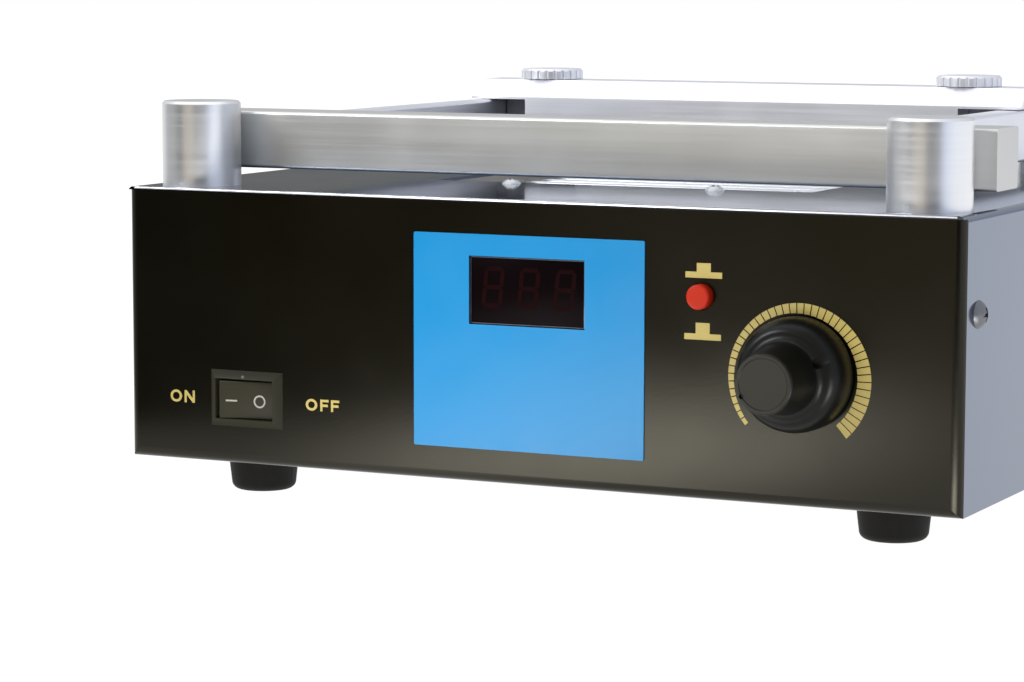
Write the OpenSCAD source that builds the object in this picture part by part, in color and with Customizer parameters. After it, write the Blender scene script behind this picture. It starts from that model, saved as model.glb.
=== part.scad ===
// PCB preheating station: a low sheet-metal case with an infrared heater window in its top,
// a board holder of aluminium bars above the window and the controls on the front panel.
// Millimetres. The origin is the middle of the footprint on the surface under the feet.
// The front panel faces -Y and +Z is up.

/* [Case] */
// Width of the case over its sides
body_w = 263; // [250:1:320]
// Depth of the case from the panel's face to the rear wall
body_d = 200; // [192:1:240]
// Height of the front panel
face_h = 81; // [79:1:100]
// Thickness of the folded base sheet
base_t = 1.2; // [1:0.1:1.6]
// Thickness of the cover sheet
cover_t = 1; // [0.8:0.1:1.4]
// Outside radius of the base's bends
bend_r = 3; // [2.5:0.5:4]
// Outside radius of the cover's bends
cover_bend_r = 2; // [1.5:0.5:3]
// How far the front and rear panels turn round the corners
lip_d = 2.5; // [2:0.5:4]
// Width of the side flanges that the cover is screwed to
flange_w = 20; // [18:1:28]
// Height of the flange along each side of the floor
floor_flange_h = 9; // [6:1:14]
// Width of the front panel's top return
front_return_w = 9; // [6:1:10]
// Width of the rear wall's top return
rear_return_w = 14; // [13:1:15]
// Number of vent slots in each side and in the rear wall
vent_count = 9; // [4:1:10]
// Width of a vent slot
vent_w = 3; // [2:0.5:4]
// Length of a vent slot
vent_len = 30; // [16:1:36]
// Spacing of the vent slots
vent_pitch = 7; // [6:0.5:8]

/* [Feet] */
// Height of a rubber foot
foot_h = 12; // [9:1:20]
// Diameter of a foot at the case
foot_d = 22; // [18:0.5:28]
// Diameter of a foot at its lower end
foot_end_d = 19.8; // [16:0.2:21]
// Radius of the foot's lower edge
foot_edge_r = 2.5; // [1:0.5:3]
// Distance of a foot's middle from the side of the case
foot_inset_x = 29.2; // [20:0.2:40]
// Distance of a foot's middle from the front or the rear
foot_inset_y = 30; // [20:1:40]

/* [Board holder] */
// Diameter of a front post
post_d = 23.8; // [20:0.2:26]
// Height of a front post
post_h = 25.4; // [23:0.2:34]
// Distance of a post's middle from the side of the case
post_inset_x = 15.8; // [14:0.2:20]
// Distance of a post's middle from the panel's face
post_inset_y = 17; // [15:0.5:20]
// Depth of the flat on the back of a post
post_flat = 0.6; // [0.4:0.1:1.2]
// Chamfer round the top of a post
post_chamfer = 0.8; // [0.4:0.1:1.5]
// Gap between the cover and the bars
bar_gap = 4.7; // [4:0.1:8]
// Height of the front bar
bar_h = 17.3; // [15:0.1:20]
// Thickness of the front bar
bar_t = 19; // [12:0.5:20]
// Distance of the front bar's ends from the sides of the case
bar_end_inset = 0.5; // [0:0.5:4]
// Radius of the bars' long edges
bar_edge_r = 1; // [0.5:0.1:2]
// Thickness of a side rail
rail_t = 8; // [7.5:0.5:10]
// Distance of a rail's middle from the side of the case
rail_inset_x = 39.5; // [36:0.5:44]
// How far the rails' tops lie under the front bar's top
rail_drop = 1; // [0.8:0.1:2]
// Distance of the rails' rear ends from the rear of the case
rail_end_inset = 3; // [2:0.5:6]
// Height of the groove in a rail
groove_h = 5; // [4:0.5:6]
// Depth of the groove in a rail
groove_d = 3.5; // [2.5:0.5:4]
// Diameter of a rail spacer
spacer_d = 12; // [10:0.5:14]
// Free way behind the slider to the stop screws, as it stands
slider_room = 4.5; // [1:0.5:90]
// Height of the slider above its board ledge
slider_rise = 5.7; // [4:0.1:8]
// Width of the slider's board ledge
ledge_w = 3; // [2:0.5:5]
// Run of the slope behind the ledge
slope_run = 5; // [3:0.5:7]
// Depth of the slider's top plate from front to rear
slider_d = 24; // [24:0.5:26]
// Thickness of the slider's web
web_t = 10; // [6:0.5:10]
// Height of the slider's web under the ledge
web_h = 12; // [9:0.5:13]
// Gap between the end of the web and the rail
web_gap = 12; // [8:0.5:16]
// Length of a jaw along the slider
jaw_l = 26; // [24:0.5:28]
// Height of a jaw
jaw_h = 15; // [13:0.5:15]
// Diameter of a lock knob
lock_d = 21; // [18:0.5:23]
// Height of a lock knob
lock_h = 3.4; // [3:0.2:6]
// Distance of a lock knob's middle from the rail's inner face
lock_inset = 14; // [12:0.5:15]
// Diameter of a lock knob's stud
stud_d = 5; // [4:0.5:6]
// Number of grooves round a lock knob
lock_grooves = 24; // [12:1:30]

/* [Heater] */
// Width of the heater window
window_w = 124; // [100:1:126]
// Distance of the window's front edge from the panel's face
window_set = 68; // [66:1:70]
// Distance of the window's rear edge from the rear of the case
window_rear = 26; // [26:1:40]
// Depth of the reflector tray under the cover
tray_h = 34; // [28:1:36]
// Thickness of the tray sheet
tray_t = 0.8; // [0.6:0.1:1.2]
// Width of the tray's flange
tray_flange_w = 11; // [9:0.5:11]
// Distance of the tray screws from the middle of the case
tray_screw_x = 33.5; // [20:0.5:45]
// Thickness of an emitter plate
emitter_t = 8; // [6:0.5:9]
// Height of the bosses under an emitter plate
emitter_boss_h = 9; // [7:0.5:12]
// Gap between the two emitter plates
emitter_gap = 9; // [7:0.5:12]
// Thickness of the insulating pad
pad_t = 5; // [3:0.5:6]
// Diameter of a guard rod
guard_d = 2; // [1.6:0.1:2.4]
// Number of guard rods each way
guard_count = 9; // [5:1:11]
// Diameter of the temperature probe
probe_d = 3.2; // [2.5:0.1:4]

/* [Panel] */
// Width of the panel label
label_w = 72.7; // [60:0.1:80]
// Height of the panel label
label_h = 62; // [50:0.5:66]
// Thickness of the panel label
label_t = 0.4; // [0.2:0.1:0.6]
// Middle of the label from the middle of the panel
label_x = 2.2; // [-4:0.1:4]
// Middle of the label above the panel's lower edge
label_z = 40.9; // [36:0.1:42]
// Width of the display window
display_w = 36.3; // [30:0.1:40]
// Height of the display window
display_h = 19.5; // [14:0.1:22]
// Middle of the display from the middle of the panel
display_x = 1.9; // [-4:0.1:4]
// Middle of the display above the panel's lower edge
display_z = 55.8; // [50:0.1:58]
// Distance of the switch's middle from the left side of the case
switch_inset = 41; // [36:0.5:60]
// Middle of the switch above the panel's lower edge
switch_z = 19.7; // [16:0.1:50]
// Width of the switch's frame
switch_w = 24.6; // [24:0.1:28]
// Height of the switch's frame
switch_h = 17; // [16.4:0.1:20]
// How far the switch's frame stands out
switch_bezel_t = 2; // [1.5:0.1:3]
// Tilt of the rocker from its middle position
rocker_tilt = 8; // [5:0.5:9]
// Distance of the button's middle from the right side of the case
button_inset = 75.9; // [74:0.1:80]
// Middle of the button above the panel's lower edge
button_z = 57.1; // [52:0.1:60]
// Diameter of the button
button_d = 7.1; // [6:0.1:9]
// How far the button stands out
button_out = 3; // [2.6:0.1:5]
// Distance of the knob's middle from the right side of the case
knob_inset = 46.7; // [38:0.1:47]
// Middle of the knob above the panel's lower edge
knob_z = 37.2; // [30:0.1:46]
// Diameter of the knob's skirt
knob_d = 32; // [28:0.5:36]
// Diameter of the knob's grip at its front
knob_grip_d = 16.8; // [14:0.2:18]
// How far the knob stands out
knob_out = 27; // [24:0.5:32]
// Diameter of the control's shaft
shaft_d = 6; // [5:0.1:6.4]

/* [Hidden] */
$fn = 48;

// Clearances
seat_gap = 0.2;
screw_gap = 0.1;
run_gap = 0.05;
slide_gap = 0.3;
cut = 1;
through = 10;

// Planes of the case
z_base = foot_h;
z_floor = z_base + base_t;
z_face = z_base + face_h;
z_top = z_face + cover_t;
x_side = body_w / 2;
y_front = -body_d / 2;
y_rear = body_d / 2;
x_flange = x_side - cover_t - screw_gap;

foot_recess = 6;
foot_recess_d = 9;

// Fasteners
m4_d = 4;
m4_nut_w = 7;
m4_nut_h = 3.2;
m4_head_d = 7;
m4_head_h = 4;
screw_tail = 1;
cover_screw_l = 6;
pan_head_d = 8;
pan_head_h = 2.6;
low_head_d = 6;
low_head_h = 1.6;
m5_d = 5;
m5_head_d = 8.5;
m5_head_h = 5;
m6_d = 6;
m6_head_d = 10;
m6_head_h = 4;
post_thread = 9;
bar_screw_bite = 8;
slot_w = 1;
slot_depth = 1;

// Board holder
x_post = x_side - post_inset_x;
y_post = y_front + post_inset_y;
y_bar = y_post + post_d / 2 - post_flat;
y_bar_rear = y_bar + bar_t;
z_bar = z_top + bar_gap;
z_board = z_bar + bar_h;
z_bar_mid = z_bar + bar_h / 2;
bar_l = body_w - 2 * bar_end_inset;
x_rail = x_side - rail_inset_x;
x_rail_in = x_rail - rail_t / 2;
z_rail_top = z_board - rail_drop;
rail_h = z_rail_top - z_bar;
y_rail_end = y_rear - rail_end_inset;
rail_screw_inset = 5;
y_rail_screw = y_rail_end - rail_screw_inset;
z_groove = z_bar + rail_h / 2 - groove_h / 2;
dowel_d = 5;
dowel_l = 16;
y_slider = y_rail_screw - m4_head_d / 2 - slider_room - slider_d;
z_slide = z_rail_top + slide_gap;
z_slider_top = z_board + slider_rise;
slider_half = x_rail + rail_t / 2;
web_half = x_rail_in - web_gap;
y_jaw = y_slider + web_t + seat_gap;
jaw_t = slider_d - web_t - seat_gap;
x_lock = x_rail_in - lock_inset;
y_lock = y_jaw + jaw_t / 2;
stud_short = 2;
lock_groove_r = 0.8;

// Heater
y_window = y_front + window_set;
window_d = body_d - window_set - window_rear;
y_window_mid = y_window + window_d / 2;
z_tray = z_face - tray_h;
z_tray_in = z_tray + tray_t;
tray_screw_y = window_d / 2 + tray_flange_w / 2;
emitter_margin = 3;
emitter_w = (window_w - emitter_gap) / 2 - emitter_margin;
emitter_l = window_d - 2 * emitter_margin;
emitter_boss_d = 14;
emitter_r = 4;
emitter_ribs = 6;
emitter_rib_d = 5;
rib_pitch = emitter_w / (emitter_ribs + 1);
pad_gap = 0.5;
probe_tail = 12;
gland_d = 7;
gland_l = 4;
x_emitter = (emitter_w + emitter_gap) / 2;
z_emitter = z_tray_in + emitter_boss_h;
boss_y = emitter_l / 4;
guard_drop = 3;
guard_end = 4;
z_guard = z_face - guard_drop - guard_d / 2;
guard_margin = 8;

// Panel parts
switch_x = switch_inset - x_side;
button_x = x_side - button_inset;
knob_x = x_side - knob_inset;
panel_in = -base_t;
label_r = 0.6;
window_lip = 2.4;
window_lip_t = 1.4;
window_recess = 0.3;
led_rim = 0.6;
led_t = 8;
z_led = panel_in - window_lip_t;
z_board_front = z_led - led_t;
board_t = 1.6;
board_margin_left = 12;
board_margin_right = 14;
board_margin_low = 18;
board_margin_high = 6;
board_left = display_x - display_w / 2 - board_margin_left;
board_right = button_x + board_margin_right;
board_low = display_z - display_h / 2 - board_margin_low;
board_high = display_z + display_h / 2 + board_margin_high;
board_hole_inset = 4;
board_hole_d = 3;
standoff_d = 6;
rocker_w = 17.8;
rocker_h = 11.6;
rocker_set = 0.95;
rocker_rise = 4;
rocker_side = 1.6;
rocker_foot_w = 8;
rocker_foot = 2.5;
rocker_dish = 0.35;
rocker_pin_d = 2.4;
rocker_pin_l = 0.7;
rocker_room = 0.85;
switch_wall = 1;
switch_depth = 18;
switch_floor = 9;
switch_bevel = 2.3;
z_pivot = switch_bezel_t - rocker_set - rocker_rise;
cavity_w = rocker_w + 2 * rocker_room;
cavity_h = rocker_h + 2 * seat_gap;
terminal_w = 4.8;
terminal_t = 0.8;
terminal_l = 8;
terminal_pitch = 7;
button_gap = 0.3;
button_edge_r = 0.8;
button_body_w = 8.4;
button_travel = 2.2;
button_back = 1;
button_stem_d = 3;
button_stem_l = 7;
button_floor = 0.6;
z_button_body = -button_back - button_travel - slide_gap;
pot_d = 16.5;
pot_depth = 9;
bushing_d = 7;
bushing_out = 5;
pot_lug_w = 11;
pot_lug_l = 16;
pot_nut_w = 11.5;
pot_nut_h = 2;
washer_d = 13.5;
washer_t = 0.6;
shaft_out = 18;
shaft_in = 7;
knob_gap = 0.8;
knob_skirt_h = 6.7;
knob_shoulder_h = 4.5;
knob_waist_r = 1;
knob_waist_from = -120;
knob_edge_r = 0.8;
knob_draft = 1.1;
knob_hollow_d = 27;
knob_hollow_h = 6.4;
set_screw_d = 3;
set_screw_l = 4;
set_screw_z = 11.6;
set_screw_angle = 25;
pointer_d = 1.6;
pointer_angle = 210;
side_screw_inset = 12.7;
side_screw_z = 54.5;

// Rear wall and inside
inlet_inset = 61.5;
inlet_x = inlet_inset - x_side;
inlet_z = 30;
inlet_w = 27;
inlet_h = 20;
inlet_depth = 18;
inlet_flange_w = 48;
inlet_flange_h = 24;
inlet_flange_t = 3;
inlet_flange_r = 4;
inlet_screw_bite = 5;
inlet_head_d = 7;
inlet_ear = 20;
socket_w = 24;
socket_h = 16.6;
socket_bevel = 4;
socket_depth = 15;
pin_w = 2;
pin_h = 4;
pin_l = 8;
pin_tail = 8;
pin_pitch = 7;
pin_step = 2;
rear_vent_inset = 101.5;
rear_vent_x = x_side - rear_vent_inset;
rear_vent_z = 40;
side_vent_y = 25;
side_vent_z = 40;
core_w = 42;
core_h = 35;
core_d = 15;
coil_w = 30;
coil_h = 24;
coil_d = 32;
transformer_inset = 59.5;
transformer_x = transformer_inset - x_side;
transformer_y = 30;
ear_l = 11;
ear_t = 3;
frame_t = 1;
sink_w = 50;
sink_d = 24;
sink_fin_h = 26;
sink_fins = 7;
sink_fin_t = 1.6;
sink_inset = 91.5;
sink_x = x_side - sink_inset;
sink_y = 30;
triac_w = 10;
triac_h = 15;
triac_t = 4.5;
block_ways = 5;
block_pitch = 9;
block_d = 20;
block_h = 15;
block_hole_d = 6;
block_x = -15;
block_inset = 28;
block_y = y_rear - block_inset;
block_w = block_ways * block_pitch;

module round_rect(w, h, r) {
  square([w - 2 * r, h], center = true);
  square([w, h - 2 * r], center = true);
  for (x = [-1, 1], y = [-1, 1])
    translate([x * (w / 2 - r), y * (h / 2 - r)])
      circle(r);
}

// Extrudes a profile drawn in Y and Z along X
module along_x(l) {
  rotate([90, 0, 90])
    linear_extrude(l, center = true)
      children();
}

// Extrudes a profile drawn in X and Z along Y
module along_y(l) {
  rotate([90, 0, 0])
    linear_extrude(l, center = true)
      children();
}

// Local axes on the panel: x to the right, y up and z out of the face
module on_panel(x, z) {
  translate([x, y_front, z_base + z])
    rotate([90, 0, 0])
      children();
}

// Local axes on the rear wall: x to the left seen from behind, y up and z out of the wall
module on_rear(x, z) {
  translate([x, y_rear, z_base + z])
    rotate([90, 0, 180])
      children();
}

function arc(cx, cy, r, from, to, steps) =
  [for (i = [0:steps]) [cx + r * cos(from + (to - from) * i / steps),
                        cy + r * sin(from + (to - from) * i / steps)]];

// Pan-head screw with a cross slot: the head stands on z = 0 and the shank points down
module pan_screw(d, l, head_d, head_h) {
  dome = (head_d * head_d / 4 + head_h * head_h) / (2 * head_h);
  difference() {
    union() {
      translate([0, 0, -l])
        cylinder(d = d, h = l + head_h / 2);
      intersection() {
        cylinder(d = head_d, h = head_h);
        translate([0, 0, head_h - dome])
          sphere(dome, $fn = 64);
      }
    }
    for (a = [0, 90])
      rotate(a)
        translate([-head_d / 4, -slot_w / 2, head_h - slot_depth])
          cube([head_d / 2, slot_w, slot_depth + cut]);
  }
}

// Socket-head screw: the head stands on z = 0 and the shank points down
module socket_screw(d, l, head_d, head_h) {
  difference() {
    union() {
      translate([0, 0, -l])
        cylinder(d = d, h = l + head_h / 2);
      cylinder(d = head_d, h = head_h);
    }
    translate([0, 0, head_h / 2])
      cylinder(d = d, h = head_h, $fn = 6);
  }
}

module hex_nut() {
  difference() {
    cylinder(d = m4_nut_w / cos(30), h = m4_nut_h, $fn = 6);
    translate([0, 0, -cut])
      cylinder(d = m4_d + screw_gap, h = m4_nut_h + 2 * cut);
  }
}

// Outline with two round upper corners, standing on the middle of its lower edge
module hood(w, h, r) {
  translate([-w / 2, 0])
    square([w, h - r]);
  translate([r - w / 2, 0])
    square([w - 2 * r, h]);
  for (x = [-1, 1])
    translate([x * (w / 2 - r), h - r])
      circle(r);
}

module slot_row(count, pitch, w, l) {
  for (i = [0:count - 1])
    translate([(i - (count - 1) / 2) * pitch, 0]) {
      square([w, l - w], center = true);
      for (y = [-1, 1])
        translate([0, y * (l - w) / 2])
          circle(d = w);
    }
}

module at_feet() {
  for (x = [-1, 1], y = [-1, 1])
    translate([x * (x_side - foot_inset_x), y * (body_d / 2 - foot_inset_y), 0])
      children();
}

module at_side_screws() {
  for (x = [-1, 1], y = [-1, 1])
    translate([x * x_side, y * (body_d / 2 - side_screw_inset), z_base + side_screw_z])
      rotate([0, x * 90, 0])
        children();
}

module at_tray_screws() {
  for (x = [-1, 1], y = [-1, 1])
    translate([x * tray_screw_x, y_window_mid + y * tray_screw_y, z_top])
      children();
}

// Screws in the ears of the parts on the floor: the heads' undersides are at z = 0
module at_floor_screws() {
  for (x = [-1, 1]) {
    translate([transformer_x + x * (core_w + ear_l) / 2, transformer_y, z_floor + frame_t])
      children();
    translate([sink_x + x * (sink_w + ear_l) / 2, sink_y - sink_d / 4, z_floor + ear_t])
      children();
    translate([block_x + x * (block_w + ear_l) / 2, block_y, z_floor + ear_t])
      children();
  }
}

module at_board_holes() {
  for (x = [board_left + board_hole_inset, board_right - board_hole_inset])
    for (z = [board_low + board_hole_inset, board_high - board_hole_inset])
      on_panel(x, z)
        children();
}

// Solid block of the case with rounded upright corners and rounded lower edges, inset by a wall
module case_block(inset, top) {
  r = bend_r - inset;
  w = body_w - 2 * inset;
  d = body_d - 2 * inset;
  h = top - z_base - inset;
  intersection() {
    translate([0, 0, z_base + inset])
      linear_extrude(h)
        round_rect(w, d, r);
    translate([0, 0, top])
      mirror([0, 0, 1])
        along_x(body_w)
          hood(d, h, r);
  }
}

// Flange inside each side of the cover, open in its middle
module side_flange() {
  difference() {
    translate([x_flange - base_t, y_front + base_t / 2, z_base])
      cube([base_t, body_d - base_t, face_h]);
    translate([x_flange - base_t - cut, y_front + flange_w, z_base + floor_flange_h])
      cube([base_t + 2 * cut, body_d - 2 * flange_w, face_h]);
  }
}

// Side flanges and top returns, rounded to lie inside the cover's bends
module inner_flanges() {
  intersection() {
    union() {
      for (x = [0, 1])
        mirror([x, 0, 0])
          side_flange();
      translate([-x_flange, y_front + base_t / 2, z_face - base_t])
        cube([2 * x_flange, front_return_w, base_t]);
      translate([-x_flange, y_rear - base_t / 2 - rear_return_w, z_face - base_t])
        cube([2 * x_flange, rear_return_w, base_t]);
    }
    case_block(0, z_face);
    translate([0, 0, z_base])
      along_y(body_d)
        hood(2 * x_flange, face_h, cover_bend_r);
  }
}

module base_chassis() {
  color("#1c1813")
  difference() {
    union() {
      difference() {
        case_block(0, z_face);
        case_block(base_t, z_face + cut);
        for (x = [0, 1])
          mirror([x, 0, 0])
            translate([x_flange - base_t / 2, y_front + lip_d, z_base - cut])
              cube([body_w, body_d - 2 * lip_d, face_h + 2 * cut]);
      }
      inner_flanges();
    }
    on_panel(display_x, display_z)
      cube([display_w + 2 * screw_gap, display_h + 2 * screw_gap, through], center = true);
    on_panel(switch_x, switch_z)
      cube([cavity_w + 2 * switch_wall + 2 * seat_gap,
            cavity_h + 2 * switch_wall + 2 * seat_gap, through], center = true);
    on_panel(button_x, button_z)
      cylinder(d = button_d + 2 * button_gap, h = through, center = true);
    on_panel(knob_x, knob_z)
      cylinder(d = bushing_d + 2 * screw_gap, h = through, center = true);
    at_side_screws()
      cylinder(d = m4_d + screw_gap, h = through, center = true);
    at_feet()
      translate([0, 0, z_base])
        cylinder(d = m4_d + screw_gap, h = through, center = true);
    for (x = [-1, 1])
      translate([x * x_rail, y_rail_screw, z_face])
        cylinder(d = m4_d + screw_gap, h = through, center = true);
    translate([0, y_window_mid, z_face])
      cube([window_w + 2 * (tray_flange_w + seat_gap), window_d + 2 * (tray_flange_w + seat_gap),
            2 * (base_t + seat_gap)], center = true);
    at_floor_screws()
      cylinder(d = m4_d + screw_gap, h = 2 * through, center = true);
    on_rear(inlet_x, inlet_z) {
      cube([inlet_w + 2 * seat_gap, inlet_h + 2 * seat_gap, through], center = true);
      for (x = [-1, 1])
        translate([x * inlet_ear, 0, 0])
          cylinder(d = m4_d + screw_gap, h = through, center = true);
    }
    on_rear(rear_vent_x, rear_vent_z)
      linear_extrude(through, center = true)
        slot_row(vent_count, vent_pitch, vent_w, vent_len);
  }
}

module top_cover() {
  color("#c9cbce")
  difference() {
    translate([0, 0, z_base])
      along_y(body_d)
        difference() {
          hood(body_w, face_h + cover_t, cover_bend_r);
          translate([0, -cut])
            hood(body_w - 2 * cover_t, face_h + cut, cover_bend_r - cover_t);
        }
    for (y = [0, 1])
      mirror([0, y, 0])
        translate([-body_w, y_front - cut, z_base - cut])
          cube([2 * body_w, cut + lip_d + seat_gap, face_h + cut]);
    translate([0, y_window_mid, z_top])
      cube([window_w, window_d, through], center = true);
    at_side_screws()
      cylinder(d = m4_d + screw_gap, h = through, center = true);
    at_tray_screws()
      cylinder(d = m4_d + screw_gap, h = through, center = true);
    for (x = [-1, 1]) {
      translate([x * x_post, y_post, z_top])
        cylinder(d = m6_d + screw_gap, h = through, center = true);
      translate([x * x_rail, y_rail_screw, z_top])
        cylinder(d = m4_d + screw_gap, h = through, center = true);
      translate([x * x_side, side_vent_y, z_base + side_vent_z])
        rotate([90, 0, 90])
          linear_extrude(through, center = true)
            slot_row(vent_count, vent_pitch, vent_w, vent_len);
    }
  }
}

module cover_screws() {
  color("#b9bbbd")
    at_side_screws()
      pan_screw(m4_d, cover_screw_l, pan_head_d, pan_head_h);
}

module rubber_feet() {
  color("#161616")
    at_feet()
      difference() {
        rotate_extrude()
          polygon(concat([[0, 0]],
            arc(foot_end_d / 2 - foot_edge_r, foot_edge_r, foot_edge_r, -90, 0, 6),
            [[foot_d / 2, foot_h], [0, foot_h]]));
        translate([0, 0, -cut])
          cylinder(d = foot_recess_d, h = foot_recess + cut);
        cylinder(d = m4_d + screw_gap, h = foot_h + cut);
      }
}

module foot_screws() {
  color("#b9bbbd")
    at_feet()
      translate([0, 0, foot_recess])
        mirror([0, 0, 1])
          pan_screw(m4_d, foot_h - foot_recess + base_t + m4_nut_h + screw_tail, pan_head_d, pan_head_h);
}

module hex_nuts() {
  color("#b4b6b8") {
    at_feet()
      translate([0, 0, z_floor])
        hex_nut();
    for (x = [-1, 1])
      translate([x * x_rail, y_rail_screw, z_face - base_t - m4_nut_h])
        hex_nut();
    at_tray_screws()
      translate([0, 0, -cover_t - tray_t - m4_nut_h])
        hex_nut();
  }
}

// Post with its foot on the cover, a flat for the front bar behind it and two tapped holes
module post() {
  color("#c4c6c8")
  difference() {
    rotate_extrude()
      polygon([[0, 0], [post_d / 2, 0], [post_d / 2, post_h - post_chamfer],
               [post_d / 2 - post_chamfer, post_h], [0, post_h]]);
    translate([-post_d / 2, post_d / 2 - post_flat, -cut])
      cube([post_d, post_d, post_h + 2 * cut]);
    translate([0, 0, -cut])
      cylinder(d = m6_d + screw_gap, h = post_thread + cut);
    translate([0, 0, z_bar_mid - z_top])
      rotate([-90, 0, 0])
        cylinder(d = m5_d + screw_gap, h = post_d);
  }
}

module post_left() {
  translate([-x_post, y_post, z_top])
    post();
}

module post_right() {
  translate([x_post, y_post, z_top])
    post();
}

module post_screws() {
  color("#b9bbbd")
    for (x = [-1, 1])
      translate([x * x_post, y_post, z_face])
        mirror([0, 0, 1])
          socket_screw(m6_d, cover_t + post_thread - screw_tail, m6_head_d, m6_head_h);
}

module front_bar() {
  color("#b7b8b8")
  difference() {
    translate([0, y_bar + bar_t / 2, z_bar_mid])
      along_x(bar_l)
        round_rect(bar_t, bar_h, bar_edge_r);
    for (x = [-1, 1]) {
      translate([x * x_post, y_bar - cut, z_bar_mid])
        rotate([-90, 0, 0]) {
          cylinder(d = m5_d + screw_gap, h = bar_t + 2 * cut);
          translate([0, 0, cut + bar_t - m5_head_h])
            cylinder(d = m5_head_d + 2 * screw_gap, h = m5_head_h + cut);
        }
      translate([x * x_rail, y_bar_rear - dowel_l / 2, z_bar_mid])
        rotate([-90, 0, 0])
          cylinder(d = dowel_d + screw_gap, h = dowel_l);
    }
  }
}

module bar_screws() {
  color("#3a3b3d")
    for (x = [-1, 1])
      translate([x * x_post, y_bar_rear - m5_head_h, z_bar_mid])
        rotate([-90, 0, 0])
          socket_screw(m5_d, bar_t - m5_head_h + bar_screw_bite, m5_head_d, m5_head_h);
}

// Right-hand rail: the groove for the slider's jaw is in its inner face
module rail() {
  l = y_rail_end - y_bar_rear;
  color("#bfc1c6")
  difference() {
    translate([x_rail, y_bar_rear + l / 2, z_bar + rail_h / 2])
      along_y(l)
        round_rect(rail_t, rail_h, bar_edge_r);
    translate([x_rail_in - cut, y_bar_rear - cut, z_groove])
      cube([groove_d + cut, l + 2 * cut, groove_h]);
    translate([x_rail, y_bar_rear - cut, z_bar_mid])
      rotate([-90, 0, 0])
        cylinder(d = dowel_d + screw_gap, h = cut + dowel_l / 2);
    translate([x_rail, y_rail_screw, z_bar - cut])
      cylinder(d = m4_d + screw_gap, h = bar_h + 2 * cut);
  }
}

module rail_left() {
  mirror([1, 0, 0])
    rail();
}

module rail_right() {
  rail();
}

module rail_dowels() {
  color("#9a9c9f")
    for (x = [-1, 1])
      translate([x * x_rail, y_bar_rear - dowel_l / 2, z_bar_mid])
        rotate([-90, 0, 0])
          cylinder(d = dowel_d, h = dowel_l);
}

module rail_spacers() {
  color("#b4b6b8")
    for (x = [-1, 1])
      translate([x * x_rail, y_rail_screw, z_top])
        difference() {
          cylinder(d = spacer_d, h = bar_gap);
          translate([0, 0, -cut])
            cylinder(d = m4_d + screw_gap, h = bar_gap + 2 * cut);
        }
}

module rail_screws() {
  color("#3a3b3d")
    for (x = [-1, 1])
      translate([x * x_rail, y_rail_screw, z_rail_top])
        socket_screw(m4_d, z_rail_top - z_face + base_t + m4_nut_h + screw_tail, m4_head_d, m4_head_h);
}

// Angle-section slider: a web with a board ledge, a slope behind it and a top plate over the rails
module slider_bar() {
  color("#dadcde")
  difference() {
    union() {
      translate([0, y_slider, 0])
        along_x(2 * slider_half)
          polygon([[ledge_w, z_slide], [slider_d, z_slide], [slider_d, z_slider_top],
                   [ledge_w + slope_run, z_slider_top], [ledge_w, z_board]]);
      translate([-web_half, y_slider, z_board - web_h])
        cube([2 * web_half, web_t, web_h]);
      translate([-slider_half, y_slider, z_slide])
        cube([2 * slider_half, web_t, z_board - z_slide]);
    }
    for (x = [-1, 1])
      translate([x * x_lock, y_lock, z_slide - cut])
        cylinder(d = stud_d + 4 * run_gap, h = z_slider_top - z_slide + 2 * cut);
  }
}

// Right-hand jaw: hangs under the slider with its tongue in the rail's groove
module jaw() {
  color("#a9abae")
  difference() {
    union() {
      translate([x_rail_in - jaw_l, y_jaw, z_slide - jaw_h])
        cube([jaw_l - slide_gap, jaw_t, jaw_h]);
      translate([x_rail_in - jaw_l, y_jaw, z_groove + slide_gap])
        cube([jaw_l + groove_d - slide_gap, jaw_t, groove_h - 2 * slide_gap]);
    }
    translate([x_lock, y_lock, z_slide - jaw_h - cut])
      cylinder(d = stud_d + 2 * run_gap, h = jaw_h + 2 * cut);
  }
}

module jaw_left() {
  mirror([1, 0, 0])
    jaw();
}

module jaw_right() {
  jaw();
}

// Low grooved knob with the stud that draws the jaw up against the rail
module lock_knob(x) {
  stud_l = z_slider_top - z_slide + jaw_h - stud_short;
  color("#e2e4e6")
  translate([x, y_lock, z_slider_top + seat_gap])
    difference() {
      union() {
        rotate_extrude()
          polygon([[0, 0], [lock_d / 2, 0], [lock_d / 2, lock_h - post_chamfer],
                   [lock_d / 2 - post_chamfer, lock_h], [0, lock_h]]);
        translate([0, 0, -stud_l])
          cylinder(d = stud_d, h = stud_l + lock_h / 2);
      }
      for (i = [0:lock_grooves - 1])
        rotate(i * 360 / lock_grooves)
          translate([(lock_d + lock_groove_r) / 2, 0, -cut / 2])
            cylinder(r = lock_groove_r, h = lock_h + cut);
    }
}

module lock_knob_left() {
  lock_knob(-x_lock);
}

module lock_knob_right() {
  lock_knob(x_lock);
}

// Positions of the guard rods across one opening size
function guard_at(i, span) = (i / (guard_count - 1) - 0.5) * (span - 2 * guard_margin);

module guard_rods_along_x(d, extra) {
  for (i = [0:guard_count - 1])
    translate([0, y_window_mid + guard_at(i, window_d), z_guard])
      rotate([0, 90, 0])
        cylinder(d = d, h = window_w + 2 * extra, center = true);
}

module guard_rods_along_y(d, extra) {
  for (i = [0:guard_count - 1])
    translate([guard_at(i, window_w), y_window_mid, z_guard - guard_d - seat_gap])
      rotate([90, 0, 0])
        cylinder(d = d, h = window_d + 2 * extra, center = true);
}

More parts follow.
